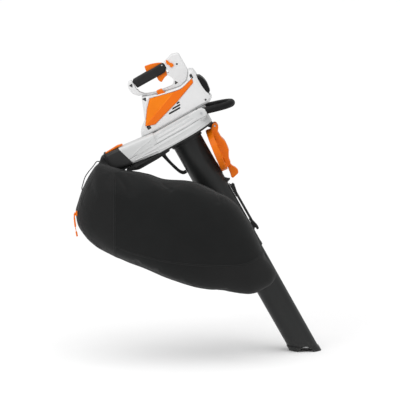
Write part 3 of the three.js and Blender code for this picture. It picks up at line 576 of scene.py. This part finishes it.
# ---- bag's loop cord ----
LOOP_CORD_MM = [
    (-290.5, -97.3, -64.5), (-294.5, -99, -61), (-302, -106, -62), (-312, -112, -75), (-327, -112, -93),
    (-340, -112, -113), (-348, -112, -138), (-351, -112, -150), (-349.5, -112, -159),
]
LOOP_CORD_DIAMETER = 0.0032


def make_loop_cord():
    route = [UPRIGHT_MM @ point for point in smooth_path(LOOP_CORD_MM, 5)]
    length = sum((b - a).length for a, b in zip(route, route[1:]))
    curve = configured(
        bpy.data.curves.new("bag_loop", "CURVE"), dimensions="3D", bevel_depth=LOOP_CORD_DIAMETER / 2,
        bevel_resolution=3, use_fill_caps=True,
    )
    spline = curve.splines.new("POLY")
    spline.points.add(len(route) - 1)
    for point, place in zip(spline.points, route):
        point.co = (*place, 1)
    cord = in_scene("bag_loop", curve)
    curve.materials.append(LOOKS["bag_webbing"].material)
    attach(cord, "bag_assembly")
    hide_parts("bag_loop_cord")
    tuple(route[0])


make_loop_cord()


# ---- suction tube ----
# Profiles are (radius, z) along the tube's axis, down from the fan.
UPPER_TUBE_PROFILE = [
    (49.4, -3.5), (51.4, -3.5), (52.0, -4.3), (51.0, -424), (51.3, -426.2), (51.8, -427.0),
    (51.8, -436.2), (51.2, -437.0), (48.4, -437), (48.4, -436),
]
LOWER_TUBE_PROFILE = [
    (44.8, -392), (48.1, -392), (48.1, -434), (47.4, -438), (45.8, -780), (45.8, -900),
    (43.2, -900), (43.2, -780),
]
BEAD_PROFILE = [(44.8, -700), (48.2, -700), (48.2, -900), (44.8, -900)]
CLIP_PAD = [(50.5, -158), (52.7, -157.4, 0.6), (52.7, -118.6, 0.6), (50.5, -118)]
CLIP_HORN = [(50.6, -174), (57, -181, 4), (65, -186, 1.5), (63, -190, 1.5), (50.6, -194)]
TUBE_SIDES = 96
TUBE_CREASE = 32  # degrees
GROUND_Z = -FAN.z / MM
NOZZLE_X = GROUND_Z * math.tan(-TILT)  # where the tube's axis meets the ground, upright, from the fan
BEAD_HEIGHT = 16
ARCH_RADIUS = 27
ARCH_DROP = 9     # the arch's centre is this far below the ground
SLAB_X = 400      # the cutting slabs' middle and size reach past the nozzle on every side
SLAB_LONG = 900
SLAB_WIDE = 400


def make_upper_tube():
    shape = bmesh.new()
    add_lathe(shape, UPPER_TUBE_PROFILE, TUBE_SIDES)
    prism(shape, CLIP_PAD, (-9, 9))
    prism(shape, CLIP_HORN, (-5, 5))
    crisp_piece("upper_tube", shape, "suction_tube", "black_tube", TUBE_CREASE, ["suction_tube_upper"])


def tilted_lathe(name, profile):
    shape = bmesh.new()
    add_lathe(shape, profile, TUBE_SIDES)
    shape.transform(Matrix.Rotation(-TILT, 4, "Y"))
    return temporary(name, shape)


def wide_slab(name, low, high):
    """A slab from one height to another, upright from the fan."""
    shape = bmesh.new()
    add_box(shape, (SLAB_X, 0, (low + high) / 2), (SLAB_LONG, SLAB_WIDE, high - low))
    return temporary(name, shape)


def make_lower_tube():
    """The nozzle is cut off along the ground, thickened at the rim and arched on both sides."""
    work = tilted_lathe("work_lower_tube", LOWER_TUBE_PROFILE)
    bead = tilted_lathe("work_bead", BEAD_PROFILE)
    slab = wide_slab("work_slab", GROUND_Z, GROUND_Z + BEAD_HEIGHT)
    under = wide_slab("work_under", GROUND_Z - 200, GROUND_Z)
    shape = bmesh.new()
    centre_z = GROUND_Z - ARCH_DROP
    add_rod(shape, (NOZZLE_X, -80, centre_z), (NOZZLE_X, 80, centre_z), ARCH_RADIUS, 64)
    arch = temporary("work_arch", shape)
    add_boolean(bead, "INTERSECT", slab)
    add_boolean(work, "UNION", bead)
    for cutter in (under, arch):
        add_boolean(work, "DIFFERENCE", cutter)
    add_modifier(work, "BEVEL", width=0.9, segments=3, limit_method="ANGLE", angle_limit=math.radians(38))
    shape = reopened(evaluated(work))
    for helper in (bead, slab, under, arch):
        bpy.data.objects.remove(helper)
    bmesh.ops.remove_doubles(shape, verts=shape.verts, dist=0.02)
    crisp_piece(
        "lower_tube", shape, "suction_tube", "black_tube", TUBE_CREASE, ["suction_tube_lower"],
        frame_matrix=UPRIGHT_MM,
    )


make_upper_tube()
make_lower_tube()


def cleat_rounding(shape):
    """A round bar between the cleat's horn and its hook, and a round end on each of them."""
    add_rod(shape, (58.8, 0, -238), (58.8, 0, -352), 4.0, 16)
    for x, z, radius in ((63.4, -212, 4.8), (63.2, -381, 4.6)):
        add_rod(shape, (x, -7, z), (x, 7, z), radius, 20)


# The rib on top of the flange's beam, which reaches up to the underside of the outlet duct.
BEAM_RIB = [
    (-88, 9), (-88, 14.6), (-120, 18.2), (-184, 26), (-203, 22.6), (-221, 19.4, 2), (-212, 11), (-188, 7),
]
BEAM_Y = (-98, -60)

moulded("bag_cleat", 0.8, 4, add=cleat_rounding)
moulded("suction_flange", 1.2, 4, add=lambda shape: prism(shape, BEAM_RIB, BEAM_Y))
moulded("intake_sleeve", 1.2, 3)
moulded("flange_bow", 0.9, 5)


# ---- fan housing ----
VOLUTE_RADIUS = 108
VOLUTE_END_X = -96  # left of this the outlet duct's side is one flat face
# How far the side steps in, as (up to this height, step).
TERRACES = ((44, 0), (56, 5), (68, 12), (math.inf, 20))
HOUSING_SPLIT = 47  # where the top and bottom halves meet
# Raised lines on the volute and its outlet duct, as [x, z] along the near side.
HOUSING_LINES = [
    [(-178, 52), (-160, 58), (-133, 64), (-100, 69)],
    [(-174, 43), (-150, 47.5), (-118, 49), (-98, 48.5)],
    [(-176, 34), (-127, 29), (-80, 24), (-31, 21.5), (19, 22), (60, 24.5), (90, 29)],
    [(-170, 38), (-152, 50), (-142, 60), (-134, 72)],
    [(-150, 36), (-124, 37), (-96, 37.5), (-60, 38.5), (-30, 39), (10, 39.5), (50, 39), (84, 37)],
    [(-90, 50.5), (-60, 51), (-20, 51.4), (20, 51.2), (60, 50)],
    [(-85, 62), (-50, 62.6), (-10, 62.6), (30, 62)],
]
LINE_RADIUS = 1.5
HOUSING_BOSSES = ((-118, 60), (-104, 58), (-88, 32), (-40, 31), (-24, 31))
BOSS_RADIUS = 2.4
# Solids between two rectangles across the duct, each (x, y range, z range). The upper half's two run the
# duct's roof and its near side out into the terraces, outside the impeller's space. The lower half's
# makes the floor slope up from the volute's.
UPPER_BLENDS = (
    ((-108, (-107.4, -32), (66, 78)), (-34, (-82, -40), (66, 76))),
    ((-108, (-107.4, -97), (48, 70)), (-51, (-87.8, -84), (48, 70))),
)
LOWER_BLENDS = (
    ((-187, (-101, -37), (28, 32)), (-92, (-106, -32), (16.4, 32))),
)


def housing_side(x, z):
    """How far the volute's near side stands out from the middle plane at a point."""
    inset = next(step for height, step in TERRACES if z < height) if x > VOLUTE_END_X else 0
    radius = VOLUTE_RADIUS - inset
    return radius if x < 0 else math.sqrt(max(radius ** 2 - x ** 2, 0))


def section(x, y, z):
    """A rectangle across the outlet duct at one x."""
    return [Vector((x, y[i], z[k])) for i, k in ((0, 0), (1, 0), (1, 1), (0, 1))]


def housing_details(low, high, blends):
    """Draws the raised lines and bosses that lie between two heights, and the blends of the duct."""
    def draw(shape):
        for line in HOUSING_LINES:
            if low < line[0][1] < high:
                path = smooth_path([(x, -housing_side(x, z) + 0.1, z) for x, z in line], 8)
                add_sweep(shape, path, circle(LINE_RADIUS, 8), lambda i: Vector((0, -1, 0)))
        for x, z in HOUSING_BOSSES:
            if low < z < high:
                y = -housing_side(x, z)
                add_rod(shape, (x, y + 3, z), (x, y - 0.9, z), BOSS_RADIUS, 16)
        for ends in blends:
            add_loops(shape, [section(*end) for end in ends])
    return draw


moulded("fan_housing_top", 1.2, 6, add=housing_details(HOUSING_SPLIT, math.inf, UPPER_BLENDS))
moulded("fan_housing_bottom", 1.2, 5, add=housing_details(0, HOUSING_SPLIT, LOWER_BLENDS))


# ---- motor housing ----
HOUSING_HALF = 58
HOUSING_FRONT_X = 100  # the sides turn in beyond these two
HOUSING_REAR_X = -92
WELL_DEPTH = 15
# Screw wells, each ((x, z) of the screw, corners about it), and vent slots, each (start x, end x, z).
WELLS = [
    ((-52, 192), [(-8.5, 7.5), (6.5, 5.5), (1, -8)]),
    ((-86, 104), [(-6.5, -6.5), (6.5, -6.5), (6.5, 7), (-6.5, 7)]),
    ((122, 184), [(-5, -8), (4.5, -6.5), (5.5, 9), (-3.5, 8)]),
]
VENTS = [(-7, 39, 111), (11, 44, 120), (33, 46, 129)]
VENT_HALF = 2.8
VENT_DEPTH = 20
CUT_PAST = 6      # how far a pocket's cutter stands out of the face it cuts
SHADE_PLATE_SUNK = 0.5  # a well's dark plate of painted shade reaches this far under its floor
SHADE_PLATE_BACK = 6.2  # and stops this far behind the face
SHADE_PLATE_SCALE = 0.92
# The raised lip along the panel's upper edge, as [x, z].
PANEL_LIP = [
    (-97.5, 112), (-64.5, 163), (-38.5, 191.6), (-8, 183.6), (20, 177.6), (48, 171.2), (72, 167.8),
    (88, 170.6), (104, 175.4), (122, 181),
]
LIP_RADIUS = 1.5


def crown(point):
    """Turns the housing's sides in towards its front and rear ends, as the moulded shell curves."""
    side = 1 if point.y > 0 else -1
    weight = min(max((abs(point.y) - 44) / 12, 0), 1)
    front = max(0.0, point.x - HOUSING_FRONT_X) / 45
    rear = max(0.0, HOUSING_REAR_X - point.x) / 34
    inwards = 13 * front ** 2 + 7 * rear ** 2
    return Vector((point.x, point.y - side * weight * inwards, point.z))


def at_side(side, inner, outer):
    return sorted((side * inner, side * outer))


def add_wells(shape, wells, side, inner, outer, corner_radius, scale=1):
    """Screw wells as solids: to cut a shell, or scaled down a little as dark plates of painted shade in it."""
    for (x, z), corners in wells:
        outline = [(x + scale * u, z + scale * v, corner_radius) for u, v in corners]
        prism(shape, outline, at_side(side, inner, outer))


def make_housing_half(side, half):
    def pockets(shape):
        add_wells(shape, WELLS, side, HOUSING_HALF - WELL_DEPTH, HOUSING_HALF + CUT_PAST, 2)
        for start, end, z in VENTS:
            low, high = z - VENT_HALF, z + VENT_HALF
            outline = [(start - 1, low), (end, low), (end, high), (start + 5, high)]
            prism(shape, outline, at_side(side, HOUSING_HALF - VENT_DEPTH, HOUSING_HALF + CUT_PAST))

    def lips(shape):
        path = smooth_path([(x, side * (HOUSING_HALF + 0.3), z) for x, z in PANEL_LIP], 5)
        add_sweep(shape, path, circle(LIP_RADIUS, 8), lambda i: Vector((0, side, 0)))

    moulded("motor_housing_" + half, 1.1, 5, remove=pockets, add=lips, bend=crown)
    # Black plates as painted shade: at the screw wells' floors and behind the vent slots.
    shape = bmesh.new()
    floor = HOUSING_HALF - WELL_DEPTH - SHADE_PLATE_SUNK
    add_wells(shape, WELLS, side, floor, HOUSING_HALF - SHADE_PLATE_BACK, 1.5, SHADE_PLATE_SCALE)
    for start, end, z in VENTS:
        outline = [(start + 1, z - 4), (end + 2, z - 4), (end + 2, z + 4), (start + 3, z + 4)]
        prism(shape, outline, at_side(side, HOUSING_HALF - 12, HOUSING_HALF - 9))
    crisp_piece("well_shade_plate_" + half, shape, "machine", "black_plastic", 30)


make_housing_half(-1, "near")
make_housing_half(1, "far")

# ---- side panels ----
# The panel's outline runs from the crease's rear end along its foot to the crease's front end, then back
# along its top. The crease's third number is how far it stands proud of the two facets.
CREASE = [(-94, 114, 0), (-60, 127.5, 2.6), (-22, 140, 3.6), (14, 154, 2.6), (46, 168.4, 0)]
PANEL_FOOT = [(-63, 103), (40, 134), (118, 164), (121, 178), (104, 172), (72, 164.5)]
PANEL_TOP = [(20, 174.5), (-36, 188), (-61, 161)]
PANEL_FACE_Y = HOUSING_HALF + 2.2
PANEL_BACK_Y = HOUSING_HALF - 3.6
CREASE_BLUR = 1.2


def height_along(line, x):
    """The height of a line of points at one x, or None past its ends."""
    for (x0, z0, *_), (x1, z1, *_) in zip(line, line[1:]):
        if x0 <= x <= x1:
            return z0 + (z1 - z0) * (x - x0) / (x1 - x0)
    return None


def below_crease(point):
    """The panel's painted shade: 1 on its lower facet and 0 on its upper one."""
    height = height_along(CREASE, point.x)
    if height is None:
        return 1.0 if point.x > CREASE[-1][0] else 0.0
    return min(max(0.5 + (height - point.z) / CREASE_BLUR, 0), 1)


def make_panel(side, half):
    """A panel in two facets that meet at a raised crease from its lower rear corner to its upper edge."""
    crease = [(x, z) for x, z, _ in CREASE]
    proud = {(x, z): rise for x, z, rise in CREASE}
    upper = [*crease[3:], *PANEL_TOP, *crease[:3]]
    lower = [crease[0], *PANEL_FOOT, *reversed(crease[1:])]
    edge = [crease[0], *PANEL_FOOT, crease[-1], *PANEL_TOP]
    shape = bmesh.new()
    front = {}
    for x, z in [*upper, *PANEL_FOOT]:
        front[(x, z)] = shape.verts.new((x, side * (PANEL_FACE_Y + proud.get((x, z), 0)), z))
    shape.faces.new([front[point] for point in upper])
    shape.faces.new([front[point] for point in lower])
    bmesh.ops.triangulate(shape, faces=shape.faces[:], ngon_method="EAR_CLIP")
    back = [shape.verts.new((x, side * PANEL_BACK_Y, z)) for x, z in edge]
    for i, point in enumerate(edge):
        j = (i + 1) % len(edge)
        shape.faces.new((front[point], front[edge[j]], back[j], back[i]))
    shape.faces.new(back)
    shape = softened(temporary("work_panel", shape), 0.9, 3, 0.3)
    for vertex in shape.verts:
        vertex.co = crown(vertex.co)
    mesh = mesh_from("colour_panel_" + half, shape, Matrix.Identity(4))
    # marks the lower facet for its painted shade
    add_shade(mesh, below_crease)
    mesh.transform(MACHINE_MM)
    piece("colour_panel_" + half, mesh, "machine", "orange_panel", ["side_panel_" + half])


make_panel(-1, "near")
make_panel(1, "far")

# ---- handles ----
FRAME_HALF = 21
FRAME_WELL_DEPTH = 9
FRAME_WELLS = [
    ((-71, 252), [(-7, 5), (6.5, 6.5), (0.5, -7.5)]),
    ((66, 189), [(-6.5, -5), (6.5, -4), (-0.5, 7.5)]),
]
GRIP_PIN = (52.3, 262.8)  # x and z of the pin through the grip's front end
LOOP_HALF = 62
LOOP_RADIUS = 12
# Half of the loop handle from its bolt to its front, as (x, how far in from LOOP_HALF, z).
LOOP_ARM = [(80, 0, 69.5), (104, 0, 62.5), (130, 0, 55), (156, 4, 47.5), (178, 17, 41), (191, 36, 37.2)]
LOOP_FRONT = (195, 0, 36)


def make_frame_half(side, half):
    def pockets(shape):
        add_wells(shape, FRAME_WELLS, side, FRAME_HALF - FRAME_WELL_DEPTH, FRAME_HALF + CUT_PAST, 1.5)

    moulded("handle_frame_" + half, 0.9, 3, remove=pockets)
    # Black plates as painted shade at the screw wells' floors.
    shape = bmesh.new()
    floor = FRAME_HALF - FRAME_WELL_DEPTH - SHADE_PLATE_SUNK
    add_wells(shape, FRAME_WELLS, side, floor, FRAME_HALF - SHADE_PLATE_BACK, 1.5, SHADE_PLATE_SCALE)
    crisp_piece("frame_well_shade_plate_" + half, shape, "machine", "black_plastic", 30)


def make_grip_caps():
    """The light heads of the pin through the grip's front end."""
    shape = bmesh.new()
    x, z = GRIP_PIN
    for side in (-1, 1):
        add_rod(shape, (x, side * 15, z), (x, side * 18.7, z), 2.0, 24, tip=1.8)
    crisp_piece("grip_pin_caps", shape, "machine", "white_housing", 40)


def make_loop_handle():
    """The front loop: a soft-covered bar."""
    near = [(x, -(LOOP_HALF - inwards), z) for x, inwards, z in LOOP_ARM]
    far = [(x, -y, z) for x, y, z in reversed(near)]
    path = smooth_path([*near, LOOP_FRONT, *far], 8)
    shape = bmesh.new()
    add_sweep(shape, path, circle(LOOP_RADIUS, 40), lambda i: Vector((0.27, 0, 1)))
    crisp_piece("loop_handle", shape, "machine", "soft_grip", 40, ["front_loop_handle"], LOOP_RUBBER)


make_frame_half(-1, "near")
make_frame_half(1, "far")
moulded("grip_sleeve", 0.8, 5)
make_grip_caps()
make_loop_handle()

# ---- controls, battery, screen, elbow and zip pull ----
# The latch's front end, which hooks over the duct's rim.
LATCH_HOOK = [(-214, 100), (-197, 97.2), (-191, 97.4, 1), (-192, 102, 2), (-207, 104.6)]
LATCH_HOOK_Y = (-79, -59)
# The elbow's lower side, which hangs a little under the duct.
ELBOW_SKIRT = [(-190, 28), (-203, 24.5, 4), (-236, 21.5, 8), (-262, 30, 6), (-262, 44), (-198, 36)]
ELBOW_SKIRT_Y = (-102, -36)

for node, voxel in (
    ("trigger", 0.6), ("trigger_lockout", 0.6), ("speed_hold_lever", 0.4), ("battery_release_button", 0.6),
):
    moulded(node, voxel, 4)
moulded("elbow_latch", 0.6, 4, add=lambda shape: prism(shape, LATCH_HOOK, LATCH_HOOK_Y))
moulded("battery_pack", 1.0, 5)
moulded("intake_screen", 0.9, 6)
moulded("screen_latch_lever", 0.6, 5)
moulded("outlet_elbow", 1.0, 9, add=lambda shape: prism(shape, ELBOW_SKIRT, ELBOW_SKIRT_Y))
moulded("bag_neck_band", 0.8, 3)
for node, voxel in (("zip_slider", 0.4), ("zip_pull", 0.35), ("zip_pull_tip", 0.35)):
    moulded(node, voxel, 2, frame_matrix=UPRIGHT_MM)

# ---- catcher bag ----
# Each slice is [x, top, bottom, middle y, half thickness], upright from the fan, a little off the CAD's
# because the cloth run pulls the upper side down and the ends out.
BAG_SLICES = [
    (-367, -214, -246, -112, 14), (-361, -199, -277, -112, 42), (-347, -157, -302, -112, 72),
    (-327, -115, -329, -112, 91), (-310, -86, -345, -112, 98), (-296, -62, -357, -114, 102),
    (-255, -71, -380, -122, 107), (-190, -85, -410, -136, 109), (-134, -86, -431, -150, 108),
    (-76, -103, -455, -162, 104), (22, -110, -487, -166, 102), (97, -143, -498, -160, 96),
    (151, -176, -502, -153, 88), (212, -258, -506, -143, 74), (256, -350, -490, -132, 54),
    (284, -400, -473, -126, 34), (297, -424, -451, -122, 14),
]
BAG_SIDES = 64
BAG_FULLNESS = 0.86     # 1 is an ellipse, and less is fuller at the corners
FABRIC_CLEARANCE = 5.0  # the cut is this far inside the slices, and the cloth run fills it out
BAG_VOXEL_MM = 6.0
# The sleeve over the elbow, as (x, middle z, half height) in the machine's frame.
NECK_RINGS = ((-262.5, 67.5, 34.8), (-269, 66, 34.2), (-276, 64, 32.8), (-283, 62, 30.9))
NECK_HALF_WIDTH = 40.3
NECK_CORNER = 13
ELBOW_Y = -69
SIM_FRAMES = 20
MAX_BILLOW_MM = 7


def bag_rings(inset):
    """The bag's slices with a smooth curve through each of their measures."""
    centres = smooth_path([(x, (top + bottom) / 2, y) for x, top, bottom, y, _ in BAG_SLICES], 4)
    sizes = smooth_path([(x, (top - bottom) / 2, half) for x, top, bottom, _, half in BAG_SLICES], 4)
    rings = []
    for (x, middle, y), (_, tall, half) in zip(centres, sizes):
        ring = []
        for i in range(BAG_SIDES):
            angle = 2 * math.pi * i / BAG_SIDES
            across, up = (math.copysign(abs(u) ** BAG_FULLNESS, u) for u in (math.cos(angle), math.sin(angle)))
            ring.append(Vector((x, y + (half - inset) * across, middle + (tall - inset) * up)))
        rings.append(ring)
    return rings


def bag_neck_rings():
    """The sleeve that goes up over the elbow, drawn in the machine's frame and turned upright."""
    turn = Matrix.Rotation(-TILT, 4, "Y")
    rings = []
    for x, middle, tall in NECK_RINGS:
        signs = ((-1, -1), (1, -1), (1, 1), (-1, 1))
        corners = rounded([(u * NECK_HALF_WIDTH, v * tall, NECK_CORNER) for u, v in signs], 6)
        rings.append([turn @ Vector((x, ELBOW_Y + u, middle + v)) for u, v in corners])
    return rings


def make_bag():
    shape = bmesh.new()
    add_loops(shape, bag_rings(FABRIC_CLEARANCE))
    add_loops(shape, bag_neck_rings())
    work = temporary("work_bag", shape)
    add_modifier(work, "REMESH", mode="VOXEL", voxel_size=BAG_VOXEL_MM)
    add_modifier(work, "SMOOTH", factor=0.5, iterations=4)
    mesh = evaluated(work)
    return billowed(mesh)


def at_neck(point):
    """Whether the cloth is held by the elbow here. The point is upright from the fan."""
    on_elbow = (Matrix.Rotation(TILT, 4, "Y") @ point).x > -288
    return on_elbow and point.x < -200 and point.z > -90


def billowed(mesh):
    """Cloth run on a slightly oversized cut under a little air pressure, which leaves soft folds."""
    rest = [v.co.copy() for v in mesh.vertices]
    for vertex in mesh.vertices:
        vertex.co *= MM
    work = in_scene("work_cloth", mesh)
    pinned = work.vertex_groups.new(name="pinned")
    pinned.add([i for i, start in enumerate(rest) if at_neck(start)], 1.0, "REPLACE")
    cloth = add_modifier(work, "CLOTH")
    configured(
        cloth.settings, quality=5, mass=0.15, tension_stiffness=12, compression_stiffness=12,
        bending_stiffness=0.3, shrink_min=-0.03, use_pressure=True, uniform_pressure_force=4,
        vertex_group_mass="pinned",
    )
    cloth.settings.effector_weights.gravity = 0.0
    cloth.collision_settings.use_collision = False
    scene = bpy.context.scene
    scene.frame_start, scene.frame_end = 1, SIM_FRAMES
    for number in range(1, SIM_FRAMES + 1):
        scene.frame_set(number)
    result = evaluated(work)
    for vertex, start in zip(result.vertices, rest):
        move = vertex.co / MM - start
        if move.length > MAX_BILLOW_MM:
            move *= MAX_BILLOW_MM / move.length
        vertex.co = start + move
    scene.frame_set(1)
    return result


REAR_SEAM_X = -238
LOW_SEAM = [
    (-238, -330), (-180, -352), (-110, -368), (-40, -380), (40, -388), (76, -391), (130, -394),
    (178, -394), (221, -384), (250, -366), (266, -346),
]


def bag_shade(point):
    """How much lighter the cloth reads: the rear end panel, and the front of the panel under the low seam."""
    seam = height_along(LOW_SEAM, point.x)
    if seam is None:
        seam = LOW_SEAM[-1][1]
    rear = 0.7 * min(max((REAR_SEAM_X + 2 - point.x) / 4, 0), 1)
    under = min(max((seam - point.z) / 3, 0), 1)
    front = 0.75 * min(max((point.x + 20) / 160, 0), 1)
    return max(rear, under * front)


def make_catcher_bag():
    """The bag's cloth. Returns its surface, upright in millimetres, for what is sewn on it."""
    work = in_scene("work_bag_fine", make_bag())
    add_modifier(work, "SUBSURF", levels=1, render_levels=1)
    mesh = evaluated(work)
    surface = BVHTree.FromPolygons([v.co for v in mesh.vertices], [p.vertices[:] for p in mesh.polygons])
    add_shade(mesh, bag_shade)
    mesh.transform(UPRIGHT_MM)
    mesh.polygons.foreach_set("use_smooth", [True] * len(mesh.polygons))
    shells = ["catcher_bag_near", "catcher_bag_far"]
    bag = piece("catcher_bag_cloth", mesh, "bag_assembly", "bag_fabric", shells)
    return surface


BAG_SURFACE = make_catcher_bag()


# ---- what is sewn on the bag ----
def cast_all(rays):
    """The places where rays meet the cloth, evened out a little so that a strip along them lies smooth."""
    hits = [BAG_SURFACE.ray_cast(Vector(start), Vector(direction))[0] for start, direction in rays]
    found = [hit for hit in hits if hit is not None]
    for _ in range(3):
        middle = [(a + 2 * b + c) / 4 for a, b, c in zip(found, found[1:], found[2:])]
        found = [found[0], *middle, found[-1]]
    return found


def on_cloth(point, lift):
    hit, normal, _, _ = BAG_SURFACE.find_nearest(point)
    return hit + lift * normal


def along_cloth(path, i):
    """The path's direction, its sideways direction and the cloth's normal at one of the path's points."""
    _, normal, _, _ = BAG_SURFACE.find_nearest(path[i])
    along = (path[min(i + 1, len(path) - 1)] - path[max(i - 1, 0)]).normalized()
    return along, normal.cross(along).normalized(), normal


STRIP_SUNK = 1.2  # a strip's underside is this far under the cloth's surface
STITCH_PITCH = 4.6
STITCH_LENGTH = 3.0
THREAD_RADIUS = 0.42


def add_strip(shape, path, offsets, thick):
    """A strip that follows the cloth, with its thickness at each of its sideways offsets."""
    rings = []
    for i, point in enumerate(path):
        _, across, _ = along_cloth(path, i)
        rise = min(1, (i + 0.2) / 3, (len(path) - 0.8 - i) / 3)
        top = [on_cloth(point + u * across, rise * t) for u, t in zip(offsets, thick)]
        under = [on_cloth(point + u * across, -STRIP_SUNK) for u in reversed(offsets)]
        rings.append(top + under)
    add_loops(shape, rings)


def spaced(path, pitch):
    """Places at an even pitch along a path, each with the path's three directions there."""
    run = 0.0
    for i in range(1, len(path)):
        gap = (path[i] - path[i - 1]).length
        while run < gap:
            yield path[i - 1].lerp(path[i], run / gap), *along_cloth(path, i)
            run += pitch
        run -= gap


def add_stitches(shape, path, offset, lift):
    """A row of short threads beside a path."""
    for place, along, across, _ in spaced(path, STITCH_PITCH):
        middle = place + offset * across
        start = on_cloth(middle - STITCH_LENGTH / 2 * along, lift)
        end = on_cloth(middle + STITCH_LENGTH / 2 * along, lift)
        add_rod(shape, start, end, THREAD_RADIUS, 5)


def sewn(name, shape, slot, look=None):
    crisp_piece(name, shape, "bag_assembly", slot, 50, look=look, frame_matrix=UPRIGHT_MM)


BAG_REACH = 400  # rays start this far out from the bag's core
ZIP_Y = -165
ZIP_PITCH = 4.4
TOOTH = (3.6, 1.7, 2.0)
# Seams as sideways offsets and the thickness at each: flat, and piped where two shells are joined.
FLAT_SEAM = ([-4.2, -2.2, 0, 2.2, 4.2], [0.2, 0.9, 1.1, 0.9, 0.2])
PIPED_SEAM = ([-3.4, -1.8, 0, 1.8, 3.4], [0.3, 2.0, 2.7, 2.0, 0.3])


def path_round(core, sideways, first, last, step):
    """Round the bag in the sideways direction's upright plane, between two angles in degrees."""
    rays = []
    for degrees in range(first, last, step):
        angle = math.radians(degrees)
        out = math.cos(angle) * Vector(sideways) + math.sin(angle) * Vector((0, 0, 1))
        rays.append((Vector(core) + BAG_REACH * out, -out))
    return cast_all(rays)


def rear_seam_path():
    """From the neck's near side round to its far side."""
    return path_round((REAR_SEAM_X, -128, -228), (0, 1, 0), 118, 424, 3)


def zip_path():
    """Down the bag's left end."""
    return path_round((-240, ZIP_Y, -232), (1, 0, 0), 118, 250, 2)


def low_seam_path(side):
    route = smooth_path([(x, 0, z) for x, z in LOW_SEAM], 5)
    return cast_all([((p.x, side * 500, p.z), (0, -side, 0)) for p in route])


def joined_path(first_x, start_z, up):
    """Along the bag's underside, or its upper side if up is -1, where its two shells are joined."""
    return cast_all([((x, -140, start_z), (0, 0, up)) for x in range(first_x, 291, 8)])


def make_seams():
    seams, threads = bmesh.new(), bmesh.new()
    for path in (rear_seam_path(), low_seam_path(-1), low_seam_path(1)):
        add_strip(seams, path, *FLAT_SEAM)
        for offset in (-2.6, 2.6):
            add_stitches(threads, path, offset, 0.8)
    for path in (joined_path(-255, -700, 1), joined_path(-232, 100, -1)):
        add_strip(seams, path, *PIPED_SEAM)
        for offset in (-6.5, 6.5):
            add_stitches(threads, path, offset, 0.1)
    sewn("bag_seams", seams, "bag_fabric")
    sewn("bag_topstitching", threads, "bag_webbing", THREAD)


def add_teeth(shape, path):
    """A row of teeth that lean to one side and the other in turn."""
    side = -1
    for place, along, across, normal in spaced(path, ZIP_PITCH / 2):
        turn = Matrix((across, along, normal)).transposed().to_4x4()
        add_box(shape, on_cloth(place + side * 1.1 * across, 0.9), TOOTH, turn)
        side = -side


def make_zip():
    """A zip down the left end: two stitched tapes and the teeth between them."""
    path = zip_path()
    tapes, threads, teeth = bmesh.new(), bmesh.new(), bmesh.new()
    add_strip(tapes, path, [-11, -8, -5, -2.2], [0.9, 0.9, 0.9, 0.7])
    add_strip(tapes, path, [2.2, 5, 8, 11], [0.7, 0.9, 0.9, 0.9])
    for offset in (-9, 9):
        add_stitches(threads, path, offset, 0.8)
    add_teeth(teeth, path)
    sewn("zip_tape", tapes, "bag_webbing")
    sewn("zip_stitching", threads, "bag_webbing", THREAD)
    sewn("zip_teeth", teeth, "black_plastic")


make_seams()
make_zip()

# ---- floor and light ----
FLOOR_SIZE = 80
FLOOR_DROP = 0.0005  # keeps the floor clear of the nozzle's rim
WORLD_STRENGTH = 0.56


def make_floor():
    shape = bmesh.new()
    bmesh.ops.create_grid(shape, x_segments=2, y_segments=2, size=FLOOR_SIZE / 2)
    mesh = bpy.data.meshes.new("floor")
    shape.to_mesh(mesh)
    shape.free()
    floor = in_scene("floor", mesh)
    floor.location.z = -FLOOR_DROP
    look = Look("floor_paper", grey(0.93), 0.9, specular=0.1)
    look.mottled(grey(0.95), 2)
    mesh.materials.append(look.material)


def make_light(name, kind, power, towards, **settings):
    light = in_scene(name, configured(bpy.data.lights.new(name, kind), energy=power, **settings))
    light.rotation_euler = Vector(towards).to_track_quat("-Z", "Y").to_euler()
    return light


def make_lights():
    """A wide sun from above keeps the whole floor paper white, and two lamps model the object."""
    make_light("overhead", "SUN", 1.75, (0.12, 0.25, -1), angle=math.radians(80))
    for name, place, size, power in (("key", (-2.0, -2.4, 2.2), 1.2, 20), ("fill", (2.6, -2.0, 1.2), 1.8, 4)):
        lamp = make_light(name, "AREA", power, AIM - Vector(place), shape="DISK", size=size)
        lamp.location = place


def make_world():
    world = bpy.data.worlds.new("studio")
    world.use_nodes = True
    background = world.node_tree.nodes["Background"]
    background.inputs["Color"].default_value = (1, 1, 1, 1)
    background.inputs["Strength"].default_value = WORLD_STRENGTH
    bpy.context.scene.world = world
    bpy.context.scene.view_settings.view_transform = "Standard"


make_floor()
make_lights()
make_world()

# ---- carried-over CAD nodes ----
for name, node in frame["nodes"].items():
    # The screws take the dark steel, painted shade that keeps their wells dark.
    look = SCREW_STEEL if "_screw_" in name else LOOKS[SLOT_OF[name]]
    node.data.materials.clear()
    node.data.materials.append(look.material)
